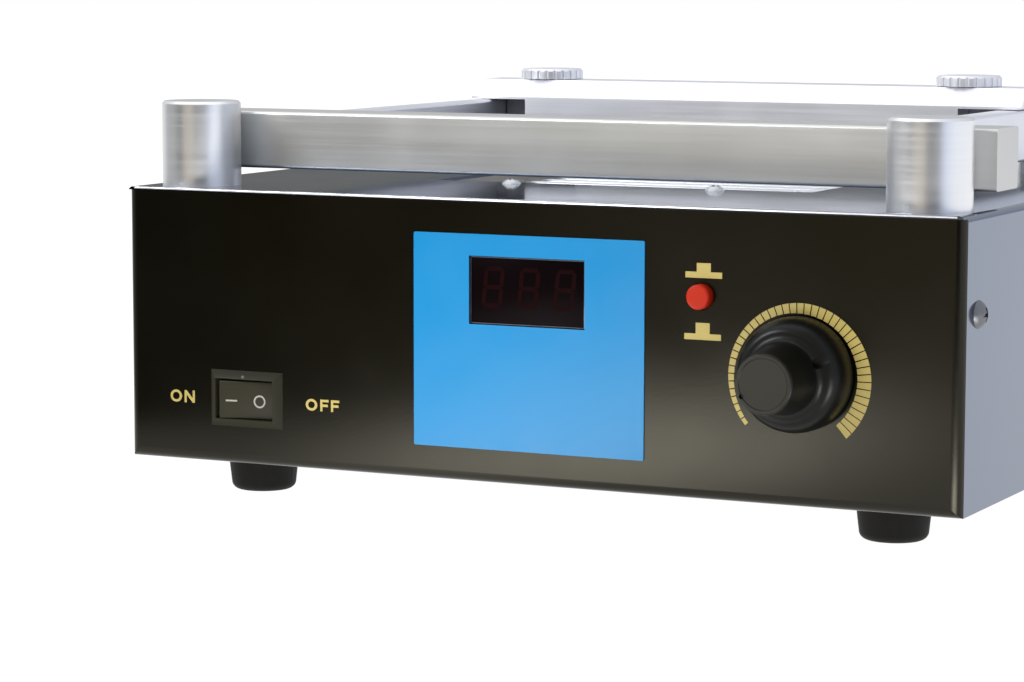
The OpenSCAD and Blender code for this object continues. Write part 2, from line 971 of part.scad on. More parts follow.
// Open reflector tray hung under the window by its flange
module heater_tray() {
  color("#cfd1d3")
  difference() {
    union() {
      translate([0, y_window_mid, z_face - tray_t])
        linear_extrude(tray_t)
          square([window_w + 2 * tray_flange_w, window_d + 2 * tray_flange_w], center = true);
      translate([0, y_window_mid, z_tray])
        linear_extrude(tray_h)
          square([window_w + 2 * tray_t, window_d + 2 * tray_t], center = true);
    }
    translate([0, y_window_mid, z_tray_in])
      linear_extrude(tray_h + cut)
        square([window_w, window_d], center = true);
    at_tray_screws()
      cylinder(d = m4_d + screw_gap, h = through, center = true);
    guard_rods_along_x(guard_d + screw_gap, guard_end + cut);
    guard_rods_along_y(guard_d + screw_gap, guard_end + cut);
    translate([0, y_window, z_emitter + emitter_t / 2])
      rotate([90, 0, 0])
        cylinder(d = probe_d + screw_gap, h = through, center = true);
  }
}

module tray_screws() {
  color("#b9bbbd")
    at_tray_screws()
      pan_screw(m4_d, cover_t + tray_t + m4_nut_h + screw_tail, low_head_d, low_head_h);
}

module at_emitter_bosses() {
  for (x = [-1, 1], y = [-1, 1])
    translate([x * x_emitter, y_window_mid + y * boss_y, z_tray_in])
      children();
}

module insulating_pad() {
  color("#d8d2c2")
  difference() {
    translate([0, y_window_mid, z_tray_in])
      linear_extrude(pad_t)
        square([window_w - 2 * seat_gap, window_d - 2 * seat_gap], center = true);
    at_emitter_bosses()
      translate([0, 0, -cut])
        cylinder(d = emitter_boss_d + 2 * pad_gap, h = pad_t + 2 * cut);
  }
}

// Two ceramic emitter plates with ribs over their heating coils
module heater_emitters() {
  color("#b8aa98") {
    for (x = [-1, 1])
      translate([x * x_emitter, y_window_mid, z_emitter]) {
        linear_extrude(emitter_t)
          round_rect(emitter_w, emitter_l, emitter_r);
        for (i = [0:emitter_ribs - 1])
          translate([(i - (emitter_ribs - 1) / 2) * rib_pitch, 0, emitter_t])
            rotate([90, 0, 0])
              cylinder(d = emitter_rib_d, h = emitter_l - 2 * emitter_r, center = true);
      }
    at_emitter_bosses()
      cylinder(d = emitter_boss_d, h = emitter_boss_h + emitter_t / 2);
  }
}

module guard_rods() {
  color("#8f9194") {
    guard_rods_along_x(guard_d, guard_end);
    guard_rods_along_y(guard_d, guard_end);
  }
}

module temperature_probe() {
  color("#a7a9ab")
    translate([0, y_window - tray_t, z_emitter + emitter_t / 2]) {
      translate([0, -probe_tail, 0])
        rotate([-90, 0, 0])
          cylinder(d = probe_d, h = probe_tail + window_d / 2);
      translate([0, -gland_l, 0])
        rotate([-90, 0, 0])
          cylinder(d = gland_d, h = gland_l, $fn = 6);
    }
}

module panel_label() {
  color("#2aa5e8")
    on_panel(0, 0)
      linear_extrude(label_t)
        difference() {
          translate([label_x, label_z])
            round_rect(label_w, label_h, label_r);
          translate([display_x, display_z])
            square([display_w + 2 * screw_gap, display_h + 2 * screw_gap], center = true);
        }
}

module display_window() {
  color("#1c0508")
    on_panel(display_x, display_z) {
      translate([0, 0, z_led])
        linear_extrude(-z_led - window_recess)
          square([display_w, display_h], center = true);
      translate([0, 0, z_led])
        linear_extrude(window_lip_t)
          square([display_w + 2 * window_lip, display_h + 2 * window_lip], center = true);
    }
}

module led_display() {
  color("#2b2b2d")
    on_panel(display_x, display_z)
      translate([0, 0, z_board_front])
        linear_extrude(led_t)
          square([display_w + 2 * led_rim, display_h - 2 * led_rim], center = true);
}

module control_board() {
  color("#1d6b3c")
  difference() {
    on_panel(0, 0)
      translate([board_left, board_low, z_board_front - board_t])
        cube([board_right - board_left, board_high - board_low, board_t]);
    at_board_holes()
      translate([0, 0, z_board_front])
        cylinder(d = board_hole_d, h = through, center = true);
  }
}

module board_standoffs() {
  color("#c8b06a")
    at_board_holes()
      translate([0, 0, z_board_front])
        cylinder(d = standoff_d, h = panel_in - z_board_front, $fn = 6);
}

// Frame of the switch with bevelled edges
module switch_bezel() {
  intersection() {
    rotate([90, 0, 90])
      linear_extrude(switch_w, center = true)
        polygon([[-switch_h / 2, 0], [switch_h / 2, 0], [switch_h / 2 - switch_bevel, switch_bezel_t],
                 [-switch_h / 2 + switch_bevel, switch_bezel_t]]);
    rotate([90, 0, 0])
      linear_extrude(switch_h, center = true)
        polygon([[-switch_w / 2, 0], [switch_w / 2, 0], [switch_w / 2 - switch_bevel, switch_bezel_t],
                 [-switch_w / 2 + switch_bevel, switch_bezel_t]]);
  }
}

module switch_housing() {
  color("#262723")
    on_panel(switch_x, switch_z)
      difference() {
        union() {
          switch_bezel();
          translate([0, 0, -switch_depth])
            linear_extrude(switch_depth + switch_bezel_t / 2)
              square([cavity_w + 2 * switch_wall, cavity_h + 2 * switch_wall], center = true);
        }
        translate([0, 0, -switch_floor])
          linear_extrude(switch_floor + switch_bezel_t + cut)
            square([cavity_w, cavity_h], center = true);
        translate([0, 0, z_pivot])
          rotate([90, 0, 0])
            cylinder(d = rocker_pin_d + 2 * run_gap, h = cavity_h + 2 * rocker_pin_l, center = true);
      }
}

module switch_terminals() {
  color("#c9a86a")
    on_panel(switch_x, switch_z)
      for (i = [-1:1])
        translate([i * terminal_pitch, 0, -switch_depth - terminal_l / 2])
          cube([terminal_t, terminal_w, terminal_l], center = true);
}

// Rocker with its pivot pins, tilted with its right end pressed in
module switch_rocker() {
  half = rocker_w / 2;
  color("#2e2f2b")
    on_panel(switch_x, switch_z)
      translate([0, 0, z_pivot])
        rotate([0, rocker_tilt, 0])
          rotate([90, 0, 0]) {
            linear_extrude(rocker_h, center = true)
              polygon([[-half, rocker_rise], [0, rocker_rise - rocker_dish], [half, rocker_rise],
                       [half, rocker_rise - rocker_side], [rocker_foot_w / 2, -rocker_foot],
                       [-rocker_foot_w / 2, -rocker_foot], [-half, rocker_rise - rocker_side]]);
            cylinder(d = rocker_pin_d, h = cavity_h + rocker_pin_l, center = true);
          }
}

module button_body() {
  color("#30302e")
    on_panel(button_x, button_z)
      difference() {
        translate([-button_body_w / 2, -button_body_w / 2, z_board_front])
          cube([button_body_w, button_body_w, z_button_body - z_board_front]);
        translate([0, 0, z_board_front + button_floor])
          cylinder(d = button_stem_d + 2 * run_gap, h = -z_board_front);
      }
}

module button_cap() {
  color("#e0351e")
    on_panel(button_x, button_z) {
      rotate_extrude()
        polygon(concat([[0, -button_back], [button_d / 2, -button_back]],
          arc(button_d / 2 - button_edge_r, button_out - button_edge_r, button_edge_r, 0, 90, 6),
          [[0, button_out]]));
      translate([0, 0, -button_stem_l])
        cylinder(d = button_stem_d, h = button_stem_l);
    }
}

module pot_body() {
  color("#8a8c8e")
    on_panel(knob_x, knob_z)
      difference() {
        union() {
          translate([0, 0, panel_in - pot_depth])
            cylinder(d = pot_d, h = pot_depth);
          translate([0, 0, panel_in - cut])
            cylinder(d = bushing_d, h = bushing_out - panel_in + cut);
          translate([-pot_lug_w / 2, -pot_lug_l, panel_in - pot_depth])
            cube([pot_lug_w, pot_lug_l, board_t]);
        }
        translate([0, 0, -shaft_in - seat_gap])
          cylinder(d = shaft_d + 2 * run_gap, h = shaft_in + shaft_out);
      }
}

module pot_nut() {
  color("#b4b6b8")
    on_panel(knob_x, knob_z)
      difference() {
        union() {
          cylinder(d = washer_d, h = washer_t);
          translate([0, 0, washer_t])
            cylinder(d = pot_nut_w, h = pot_nut_h, $fn = 6);
        }
        cylinder(d = bushing_d + screw_gap, h = 2 * through, center = true);
      }
}

module pot_shaft() {
  color("#b4b6b8")
    on_panel(knob_x, knob_z)
      translate([0, 0, -shaft_in])
        cylinder(d = shaft_d, h = shaft_in + shaft_out);
}

// Bell-shaped knob: skirt, rounded shoulder, waist and a grip with draft
module control_knob() {
  skirt_r = knob_d / 2;
  grip_r = knob_grip_d / 2;
  root_r = grip_r + knob_draft;
  shoulder = knob_gap + knob_skirt_h;
  step = skirt_r - root_r - knob_waist_r;
  waist = shoulder + knob_shoulder_h;
  color("#141413")
    on_panel(knob_x, knob_z)
      difference() {
        rotate_extrude()
          polygon(concat([[0, knob_gap], [skirt_r, knob_gap], [skirt_r, shoulder]],
            [for (a = [10:10:90]) [skirt_r - step * (1 - cos(a)), shoulder + knob_shoulder_h * sin(a)]],
            arc(root_r + knob_waist_r, waist + knob_waist_r, knob_waist_r, knob_waist_from, -180, 4),
            arc(grip_r - knob_edge_r, knob_out - knob_edge_r, knob_edge_r, 0, 90, 5),
            [[0, knob_out]]));
        translate([0, 0, knob_gap - cut])
          cylinder(d = knob_hollow_d, h = knob_hollow_h + cut);
        cylinder(d = shaft_d + screw_gap, h = shaft_out + seat_gap);
        translate([0, 0, set_screw_z])
          rotate([0, 90, set_screw_angle])
            cylinder(d = set_screw_d + screw_gap, h = knob_d);
        rotate(pointer_angle)
          translate([grip_r - pointer_d / 2, 0, knob_out - pointer_d / 2])
            cylinder(d = pointer_d, h = pointer_d);
      }
}

module knob_set_screw() {
  color("#2a2a2a")
    on_panel(knob_x, knob_z)
      translate([0, 0, set_screw_z])
        rotate([0, 90, set_screw_angle])
          translate([0, 0, shaft_d / 2 + seat_gap])
            cylinder(d = set_screw_d, h = set_screw_l);
}

// Outline of the inlet's socket: a rectangle with two bevelled lower corners
module socket_outline(w, h, bevel) {
  polygon([[-w / 2, h / 2], [-w / 2, bevel - h / 2], [bevel - w / 2, -h / 2],
           [w / 2 - bevel, -h / 2], [w / 2, bevel - h / 2], [w / 2, h / 2]]);
}

module at_inlet_pins() {
  for (i = [-1:1])
    translate([i * pin_pitch, (1 - abs(i) * 2) * pin_step, 0])
      children();
}

module mains_inlet() {
  color("#1b1b1b")
    on_rear(inlet_x, inlet_z)
      difference() {
        union() {
          linear_extrude(inlet_flange_t)
            round_rect(inlet_flange_w, inlet_flange_h, inlet_flange_r);
          translate([0, 0, -inlet_depth])
            linear_extrude(inlet_depth + inlet_flange_t / 2)
              square([inlet_w, inlet_h], center = true);
        }
        translate([0, 0, inlet_flange_t - socket_depth])
          linear_extrude(socket_depth + cut)
            socket_outline(socket_w, socket_h, socket_bevel);
        at_inlet_pins()
          cube([pin_w + screw_gap, pin_h + screw_gap, 4 * through], center = true);
        for (x = [-1, 1])
          translate([x * inlet_ear, 0, 0])
            cylinder(d = m4_d + screw_gap, h = through, center = true);
      }
}

module inlet_pins() {
  color("#c9a86a")
    on_rear(inlet_x, inlet_z)
      at_inlet_pins()
        translate([-pin_w / 2, -pin_h / 2, -inlet_depth - pin_tail])
          cube([pin_w, pin_h, pin_tail + inlet_depth + inlet_flange_t - socket_depth + pin_l]);
}

module inlet_screws() {
  color("#b9bbbd")
    on_rear(inlet_x, inlet_z)
      for (x = [-1, 1])
        translate([x * inlet_ear, 0, inlet_flange_t])
          pan_screw(m4_d, inlet_flange_t + inlet_screw_bite, inlet_head_d, pan_head_h);
}

// Laminated core with its winding
module transformer() {
  window_h = (core_h - coil_h) / 2;
  color("#7a4a2c")
    translate([transformer_x, transformer_y, z_floor + frame_t]) {
      translate([-core_w / 2, -core_d / 2, 0])
        cube([core_w, core_d, core_h]);
      translate([-coil_w / 2, -coil_d / 2, window_h])
        cube([coil_w, coil_d, coil_h]);
    }
}

// Clip over the transformer's core with two ears on the floor
module transformer_frame() {
  color("#a9abae")
  difference() {
    translate([transformer_x, transformer_y, z_floor]) {
      translate([-core_w / 2 - ear_l, -core_d / 2, 0])
        cube([core_w + 2 * ear_l, core_d, frame_t]);
      for (x = [-1, 1])
        translate([x * (core_w + frame_t) / 2 - frame_t / 2, -core_d / 2, 0])
          cube([frame_t, core_d, core_h]);
    }
    at_floor_screws()
      cylinder(d = m4_d + screw_gap, h = through, center = true);
  }
}

module triac_heatsink() {
  color("#9c9ea1")
  difference() {
    translate([sink_x, sink_y, z_floor]) {
      translate([-sink_w / 2 - ear_l, -sink_d / 2, 0])
        cube([sink_w + 2 * ear_l, sink_d, ear_t]);
      for (i = [0:sink_fins - 1])
        translate([-sink_w / 2 + i * (sink_w - sink_fin_t) / (sink_fins - 1), -sink_d / 2, 0])
          cube([sink_fin_t, sink_d, ear_t + sink_fin_h]);
    }
    at_floor_screws()
      cylinder(d = m4_d + screw_gap, h = through, center = true);
  }
}

module power_triac() {
  color("#232325")
    translate([sink_x + sink_w / 2, sink_y + sink_d / 4 - triac_w / 2, z_floor + ear_t])
      cube([triac_t, triac_w, triac_h]);
}

module terminal_block() {
  color("#26282a")
  difference() {
    translate([block_x, block_y, z_floor]) {
      translate([-block_w / 2, -block_d / 2, 0])
        cube([block_w, block_d, block_h]);
      translate([-block_w / 2 - ear_l, -block_d / 2, 0])
        cube([block_w + 2 * ear_l, block_d, ear_t]);
    }
    for (i = [0:block_ways - 1], y = [-1, 1])
      translate([block_x + (i - (block_ways - 1) / 2) * block_pitch, block_y + y * block_d / 4,
                 z_floor + block_h / 2])
        cylinder(d = block_hole_d, h = block_h);
    at_floor_screws()
      cylinder(d = m4_d + screw_gap, h = through, center = true);
  }
}

module floor_screws() {
  color("#b9bbbd")
    at_floor_screws()
      pan_screw(m4_d, ear_t + base_t, low_head_d, low_head_h);
}

base_chassis();
top_cover();
cover_screws();
rubber_feet();
foot_screws();
hex_nuts();
post_left();
post_right();
post_screws();
front_bar();
bar_screws();
rail_left();
rail_right();
rail_dowels();
rail_spacers();
rail_screws();
slider_bar();
jaw_left();
jaw_right();
lock_knob_left();
lock_knob_right();
heater_tray();
tray_screws();
insulating_pad();
heater_emitters();
guard_rods();
temperature_probe();
panel_label();
display_window();
led_display();
control_board();
board_standoffs();
switch_housing();
switch_terminals();
switch_rocker();
button_body();
button_cap();
pot_body();
pot_nut();
pot_shaft();
control_knob();
knob_set_screw();
mains_inlet();
inlet_pins();
inlet_screws();
transformer();
transformer_frame();
triac_heatsink();
power_triac();
terminal_block();
floor_screws();
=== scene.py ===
# %% [markdown]
# # A PCB preheating station
# A low bench heater: a black folded base and a bright folded cover make the case, aluminium bars above
# the heater window hold a circuit board, and the controls sit on the black front panel.
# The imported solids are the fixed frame. This lesson dresses them: a camera and studio first, then the
# finishes, then the pieces that need finer modelling than the solids have.

# %% Load the frame
import math

import bmesh
import bpy
from mathutils import Euler, Matrix, Vector


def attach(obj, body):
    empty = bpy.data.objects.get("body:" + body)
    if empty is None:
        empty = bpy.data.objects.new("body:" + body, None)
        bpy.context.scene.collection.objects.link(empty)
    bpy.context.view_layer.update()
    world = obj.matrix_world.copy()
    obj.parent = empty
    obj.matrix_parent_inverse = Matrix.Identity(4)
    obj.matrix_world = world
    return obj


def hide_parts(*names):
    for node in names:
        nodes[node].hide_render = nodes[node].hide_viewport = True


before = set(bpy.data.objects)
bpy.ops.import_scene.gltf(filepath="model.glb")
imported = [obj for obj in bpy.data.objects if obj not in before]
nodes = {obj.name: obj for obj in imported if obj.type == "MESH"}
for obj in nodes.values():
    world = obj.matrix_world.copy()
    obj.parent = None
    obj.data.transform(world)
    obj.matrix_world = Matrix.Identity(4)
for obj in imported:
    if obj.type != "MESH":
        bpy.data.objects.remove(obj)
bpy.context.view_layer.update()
MM = 0.001

# %% [markdown]
# ## Camera
# The photograph was taken with a long lens from the right of the front, a little above the panel.
# Its place, turn and focal length come from fitting the panel's known corners, so the render lines up
# with the photograph and can be compared with it region by region.

# %% Camera
EYE = (0.40598, -0.93835, 0.16074)
YAW = math.radians(25.99)
PITCH = math.radians(6.549)
ROLL = math.radians(0.086)
LENS, SENSOR = 115.65, 36
NEAREST = 0.05

bpy.ops.object.select_all(action="DESELECT")
bpy.ops.object.camera_add(location=EYE)
camera = bpy.context.object
turn = Euler((math.pi / 2 - PITCH, 0, YAW)).to_matrix() @ Matrix.Rotation(ROLL, 3, "Z")
camera.rotation_euler = turn.to_euler()
camera.data.lens = LENS
camera.data.sensor_width = SENSOR
camera.data.sensor_fit = "HORIZONTAL"
camera.data.clip_start = NEAREST
bpy.context.scene.camera = camera
bpy.context.scene.view_settings.view_transform = "Standard"
print("camera at", EYE)

# %% [markdown]
# ## One way to write a colour, to add a node and to start a finish
# Colours are written as they look on a screen, in sRGB hex, and shaders want linear light. A node needs
# its options, its values and its links, and one small function does all three. A finish could be set up
# socket by socket; here a function takes the constants by name, which keeps every recipe short.

# %% Colour, node and finish helpers


def linear(hex_colour):
    """sRGB hex to linear RGBA."""
    parts = [int(hex_colour[i : i + 2], 16) / 255 for i in (1, 3, 5)]
    return (*[c / 12.92 if c <= 0.04045 else ((c + 0.055) / 1.055) ** 2.4 for c in parts], 1.0)


def add(tree, kind, inputs=None, **settings):
    """Adds a node. Settings are its options; inputs are values for its sockets or sockets to link."""
    node = tree.nodes.new("ShaderNode" + kind)
    for name, value in settings.items():
        setattr(node, name, value)
    for name, value in (inputs or {}).items():
        if isinstance(value, bpy.types.NodeSocket):
            tree.links.new(value, node.inputs[name])
        else:
            node.inputs[name].default_value = value
    return node


def finish(name, **shader):
    """A new material with constants on its shader; underscores stand for spaces in socket names."""
    made = bpy.data.materials.new(name)
    made.use_nodes = True
    bsdf = made.node_tree.nodes["Principled BSDF"]
    for socket, value in shader.items():
        bsdf.inputs[socket.replace("_", " ")].default_value = value
    print("finish:", name)
    return made, made.node_tree, bsdf


print("mid grey on a screen is", round(linear("#808080")[0], 3), "in linear light")

# %% [markdown]
# ## The table
# The object stands on a table that is burnt out to pure white. A white sheet under strong lamps could do
# that, but then every lamp would change it, so this table glows by itself. The camera looks from the
# right, so the black panel mirrors what lies to its front left: the sheet is cut off there along a
# slanted line, and past it the panel mirrors the darker room. Two brighter pools on the sheet are
# mirrored as the soft highlights on the panel's coat and on the knob.

# %% Light table
TABLE_FRONT, TABLE_BACK, TABLE_HALF = -0.42, 6.0, 4.0
CUT_AT, CUT_WAY = (-0.19, -0.235, 0), (0.66, 0.75, 0)
TABLE_LIGHT = 1.0
# The middle of each pool, its reach along X and Y, and the light that it adds
POOLS = [
    ((-0.038, -0.275), (0.125, 0.20), 6.5),
    ((0.185, -0.19), (0.07, 0.06), 16.0),
]

bpy.ops.object.select_all(action="DESELECT")
bpy.ops.mesh.primitive_plane_add(size=1, location=(0, (TABLE_FRONT + TABLE_BACK) / 2, 0))
floor = bpy.context.object
floor.name = "floor"
floor.scale = (2 * TABLE_HALF, TABLE_BACK - TABLE_FRONT, 1)
bpy.ops.object.transform_apply(location=True, rotation=True, scale=True)
bpy.ops.object.mode_set(mode="EDIT")
bpy.ops.mesh.select_all(action="SELECT")
bpy.ops.mesh.bisect(plane_co=CUT_AT, plane_no=CUT_WAY, clear_inner=True)
bpy.ops.object.mode_set(mode="OBJECT")


def light_table(name):
    """A glowing white sheet: even light all over, and more of it in soft round pools."""
    made, tree, bsdf = finish(name, Base_Color=linear("#404040"), Roughness=0.9,
                              Emission_Color=(1, 1, 1, 1))
    place = add(tree, "TexCoord").outputs["Object"]
    light = TABLE_LIGHT
    for middle, reach, more in POOLS:
        stretch = [1 / r for r in reach] + [0]
        shift = [-m * s for m, s in zip(middle, stretch)] + [0]
        spot = add(tree, "VectorMath", {0: place, 1: stretch, 2: shift}, operation="MULTIPLY_ADD")
        away = add(tree, "VectorMath", {0: spot.outputs["Vector"]}, operation="LENGTH")
        pool = add(tree, "MapRange", {"Value": away.outputs["Value"], "To Min": more, "To Max": 0.0},
                   interpolation_type="SMOOTHSTEP")
        light = add(tree, "Math", {0: light, 1: pool.outputs["Result"]}).outputs[0]
    tree.links.new(light, bsdf.inputs["Emission Strength"])
    return made


floor.data.materials.append(light_table("light_table"))
print("table with", len(floor.data.vertices), "corners and", len(POOLS), "pools of light")

# %% [markdown]
# ## The lamps
# A bright room lights the object from everywhere above. One large, dim softbox overhead gives that
# without burning out the tops, and a small one at the left front gives the bars and posts their shape.
# Glowing planes could do the same; area lamps are chosen because they give less noise.

# %% Softboxes


def softbox(name, place, target, size, watts, tint):
    """A rectangular studio light that points at a target."""
    bpy.ops.object.light_add(type="AREA", location=place)
    lamp = bpy.context.object
    lamp.name = name
    lamp.rotation_euler = (Vector(target) - Vector(place)).to_track_quat("-Z", "Y").to_euler()
    lamp.data.shape = "RECTANGLE"
    lamp.data.size, lamp.data.size_y = size
    lamp.data.energy = watts
    lamp.data.color = linear(tint)[:3]
    print("softbox", name, "of", watts, "W")


softbox("overhead", (-0.45, 0.1, 1.5), (0, -0.05, 0), (2.0, 1.6), 6.5, "#FFFFFF")
softbox("left_front", (-0.85, -0.95, 0.8), (0, -0.05, 0.06), (0.5, 0.5), 12, "#F6F9FF")

# %% [markdown]
# ## The room
# Polished metal only shows what is around it. A picture of a room could be wrapped round the scene; here
# the room is painted as a ring of tones, with a pale window side on the right, a bright wall on the left
# and darker gaps between, and it fades to a pale ceiling. The tones were set until the metal looked as in
# the photograph, one side at a time. The camera sees plain white behind the object.

# %% Tones of the room
# Azimuth in degrees, 0 straight in front of the panel and 90 to its right, and the tone seen there
ROOM = [
    (-180, "#8C9094"),
    (-160, "#44484C"),
    (-154, "#3E413E"),
    (-149, "#383A30"),
    (-142, "#383A30"),
    (-128, "#D8DADC"),
    (-106, "#F0F2F6"),
    (-94, "#B4B6B8"),
    (-58, "#9C9C9A"),
    (-36, "#1E1C18"),
    (-30, "#1E1C18"),
    (-22, "#A8A090"),
    (2, "#B8AE9C"),
    (12, "#4A4A4E"),
    (40, "#4A4A4E"),
    (58, "#D4E2FF"),
    (115, "#E0EAFF"),
    (152, "#E0EAFF"),
    (168, "#A8ACB4"),
    (180, "#8C9094"),
]
# The ceiling's tone and share, and the heights, as sines of elevation, between which it fades in
CEILING, CEILING_SHARE, FADE_LOW, FADE_HIGH = "#E4E6EA", 0.72, -0.03, 0.28
print("tones of the room:", len(ROOM))

# %% Painted room
world = bpy.data.worlds.new("studio")
world.use_nodes = True
bpy.context.scene.world = world
sky = world.node_tree
sky.nodes.clear()
way = add(sky, "SeparateXYZ", {"Vector": add(sky, "TexCoord").outputs["Generated"]})
ahead = add(sky, "Math", {0: way.outputs["Y"], 1: -1.0}, operation="MULTIPLY")
azimuth = add(sky, "Math", {0: way.outputs["X"], 1: ahead.outputs[0]}, operation="ARCTAN2")
share = add(sky, "MapRange", {"Value": azimuth.outputs[0], "From Min": -math.pi, "From Max": math.pi})
room = add(sky, "ValToRGB", {"Fac": share.outputs["Result"]})
stops = room.color_ramp.elements
while len(stops) < len(ROOM):
    stops.new(0.5)
for stop, (degrees, tone) in zip(stops, ROOM):
    stop.position = (degrees + 180) / 360
    stop.color = linear(tone)
rise = add(sky, "MapRange", {"Value": way.outputs["Z"], "From Min": FADE_LOW, "From Max": FADE_HIGH,
                             "To Max": CEILING_SHARE},
           interpolation_type="SMOOTHSTEP")
walls = add(sky, "Mix", {0: rise.outputs["Result"], 6: room.outputs["Color"], 7: linear(CEILING)},
            data_type="RGBA")
around = add(sky, "Background", {"Color": walls.outputs[2], "Strength": 1.0})
behind = add(sky, "Background", {"Color": (1, 1, 1, 1), "Strength": 1.0})
seen = add(sky, "LightPath").outputs["Is Camera Ray"]
both = add(sky, "MixShader", {0: seen, 1: around.outputs[0], 2: behind.outputs[0]})
add(sky, "OutputWorld", {"Surface": both.outputs[0]})
print("world:", world.name, "with", len(sky.nodes), "nodes")

# %% [markdown]
# ## Powder coat
# Each finish starts from the real material and how its surface was made. Patterns are in Object
# coordinates, so one length in a recipe is one length on the part: noise of scale 1 / size gives
# features of about that size. The base sheet is powder coated: the powder melts to a skin with a faint
# orange peel. Its waves could be modelled, but they are so shallow that a bump is enough.

# %% Powder coat on the black base sheet
PEEL, PEEL_DEPTH, PEEL_STRENGTH = 0.9, 0.03, 0.25
COAT_CLOUD, COAT_ROUGH = 45, (0.17, 0.23)
# Nearly all of a noise lies between these two values
NOISE_LOW, NOISE_HIGH = 0.3, 0.7


def surface(tree, bsdf, tone, rough, height, strength, depth):
    """Links a colour, a roughness and a relief with its depth in mm to the shader."""
    relief = add(tree, "Bump", {"Height": height, "Strength": strength, "Distance": depth * MM})
    tree.links.new(tone, bsdf.inputs["Base Color"])
    tree.links.new(rough, bsdf.inputs["Roughness"])
    tree.links.new(relief.outputs["Normal"], bsdf.inputs["Normal"])


def powder_coat(name, dark, light):
    """Baked semi-gloss powder: near black, with a faint orange peel and an uneven sheen."""
    made, tree, bsdf = finish(name, Specular_IOR_Level=0.37, Specular_Tint=linear("#FFF9E2"))
    place = add(tree, "TexCoord").outputs["Object"]
    peel = add(tree, "TexNoise", {"Vector": place, "Scale": 1 / (PEEL * MM), "Detail": 2.0})
    cloud = add(tree, "TexNoise", {"Vector": place, "Scale": 1 / (COAT_CLOUD * MM), "Detail": 3.0})
    sheen = add(tree, "MapRange", {"Value": cloud.outputs["Fac"], "From Min": NOISE_LOW,
                                   "From Max": NOISE_HIGH, "To Min": COAT_ROUGH[0],
                                   "To Max": COAT_ROUGH[1]})
    tone = add(tree, "Mix", {0: cloud.outputs["Fac"], 6: linear(dark), 7: linear(light)}, data_type="RGBA")
    surface(tree, bsdf, tone.outputs[2], sheen.outputs["Result"], peel.outputs["Fac"], PEEL_STRENGTH,
            PEEL_DEPTH)
    return made


# Deep black that mirrors the table softly, in a slightly warm tone
black_powder_coat = powder_coat("black_powder_coat", "#040300", "#070502")

# %% [markdown]
# ## Metals
# Rolled, drawn, turned and anodised metal differ in the way their grain runs and in how rough they are.
# Each could have a recipe of its own; one recipe is enough, because noise that is stretched along one
# axis gives every grain: long along the rolling or drawing, short across it. On a turned post the grain
# runs round, so it only changes with height. Real lines are about 0.05 mm wide, which is too fine to show
# here, so they are drawn about ten times as wide.

# %% Recipe for metal
SMUDGE_SIZE, SMUDGE_LOW = 22, 0.4
GRAIN_SHADE, GRAIN_STRENGTH = 0.9, 0.3


def metal(name, colour, rough, grain, depth, smudge=0.05):
    """Bare metal: colour, (low, high) roughness, grain size along X, Y and Z and its depth in mm."""
    made, tree, bsdf = finish(name, Metallic=1.0)
    place = add(tree, "TexCoord").outputs["Object"]
    drawn = add(tree, "Mapping", {"Vector": place, "Scale": [1 / (g * MM) for g in grain]})
    lines = add(tree, "TexNoise", {"Vector": drawn.outputs["Vector"], "Scale": 1.0, "Detail": 3.0})
    touch = add(tree, "TexNoise", {"Vector": place, "Scale": 1 / (SMUDGE_SIZE * MM), "Detail": 4.0})
    streak = add(tree, "MapRange", {"Value": lines.outputs["Fac"], "From Min": NOISE_LOW,
                                    "From Max": NOISE_HIGH, "To Min": rough[0], "To Max": rough[1]})
    dull = add(tree, "MapRange", {"Value": touch.outputs["Fac"], "From Min": SMUDGE_LOW,
                                  "From Max": NOISE_HIGH, "To Min": 0.0, "To Max": smudge})
    total = add(tree, "Math", {0: streak.outputs["Result"], 1: dull.outputs["Result"]})
    base = linear(colour)
    shade = [c * GRAIN_SHADE for c in base[:3]] + [1.0]
    tone = add(tree, "Mix", {0: lines.outputs["Fac"], 6: shade, 7: base}, data_type="RGBA")
    surface(tree, bsdf, tone.outputs[2], total.outputs[0], lines.outputs["Fac"], GRAIN_STRENGTH, depth)
    return made


print("every metal has smudges of about", SMUDGE_SIZE, "mm")

# %% The metals
# A clear, bluish mirror with long faint streaks
rolled_steel = metal("bright_rolled_steel", "#707B8E", (0.07, 0.10), (60, 0.5, 0.5), 0.001, 0.03)
# A filed edge, painted far paler than the sheet's steel: a painted highlight that adds a soft glint
# along the edge to the real one
deburred_edge_highlight = metal("deburred_steel_edge_highlight", "#F2F2FA", (0.28, 0.36), (8, 0.5, 0.5), 0.001)
# Pale and silky, with fine rings round the post
turned_aluminium = metal("turned_anodised_aluminium", "#F2F2F2", (0.28, 0.34), (90, 90, 1.5), 0.0002)
# Pale and even, with no direction
lock_aluminium = metal("satin_aluminium_lock", "#F4F4F8", (0.42, 0.50), (4, 4, 4), 0.002)
# Fine lines along the drawing: along X on the two bars, along Y on the rails
slider_aluminium = metal("anodised_aluminium_slider", "#F4F4F8", (0.36, 0.44), (70, 0.45, 0.45), 0.002)
bar_aluminium = metal("anodised_aluminium_bar", "#D2D2CF", (0.37, 0.43), (70, 0.45, 0.45), 0.0004)
rail_aluminium = metal("anodised_aluminium_rail", "#F0F1F6", (0.36, 0.44), (0.45, 70, 0.45), 0.002)
# A darker, duller grey, so the jaws stand out from the rails; it also paints in part of the shade
# in the gap under the slider, where the jaws sit
grey_anodised_and_shade = metal("grey_anodised_aluminium_and_shade", "#85868A", (0.34, 0.46), (0.8, 30, 0.8), 0.004)
# Clear cutter lines
milled_aluminium = metal("milled_aluminium", "#C9CBCE", (0.30, 0.45), (0.8, 30, 0.8), 0.01)
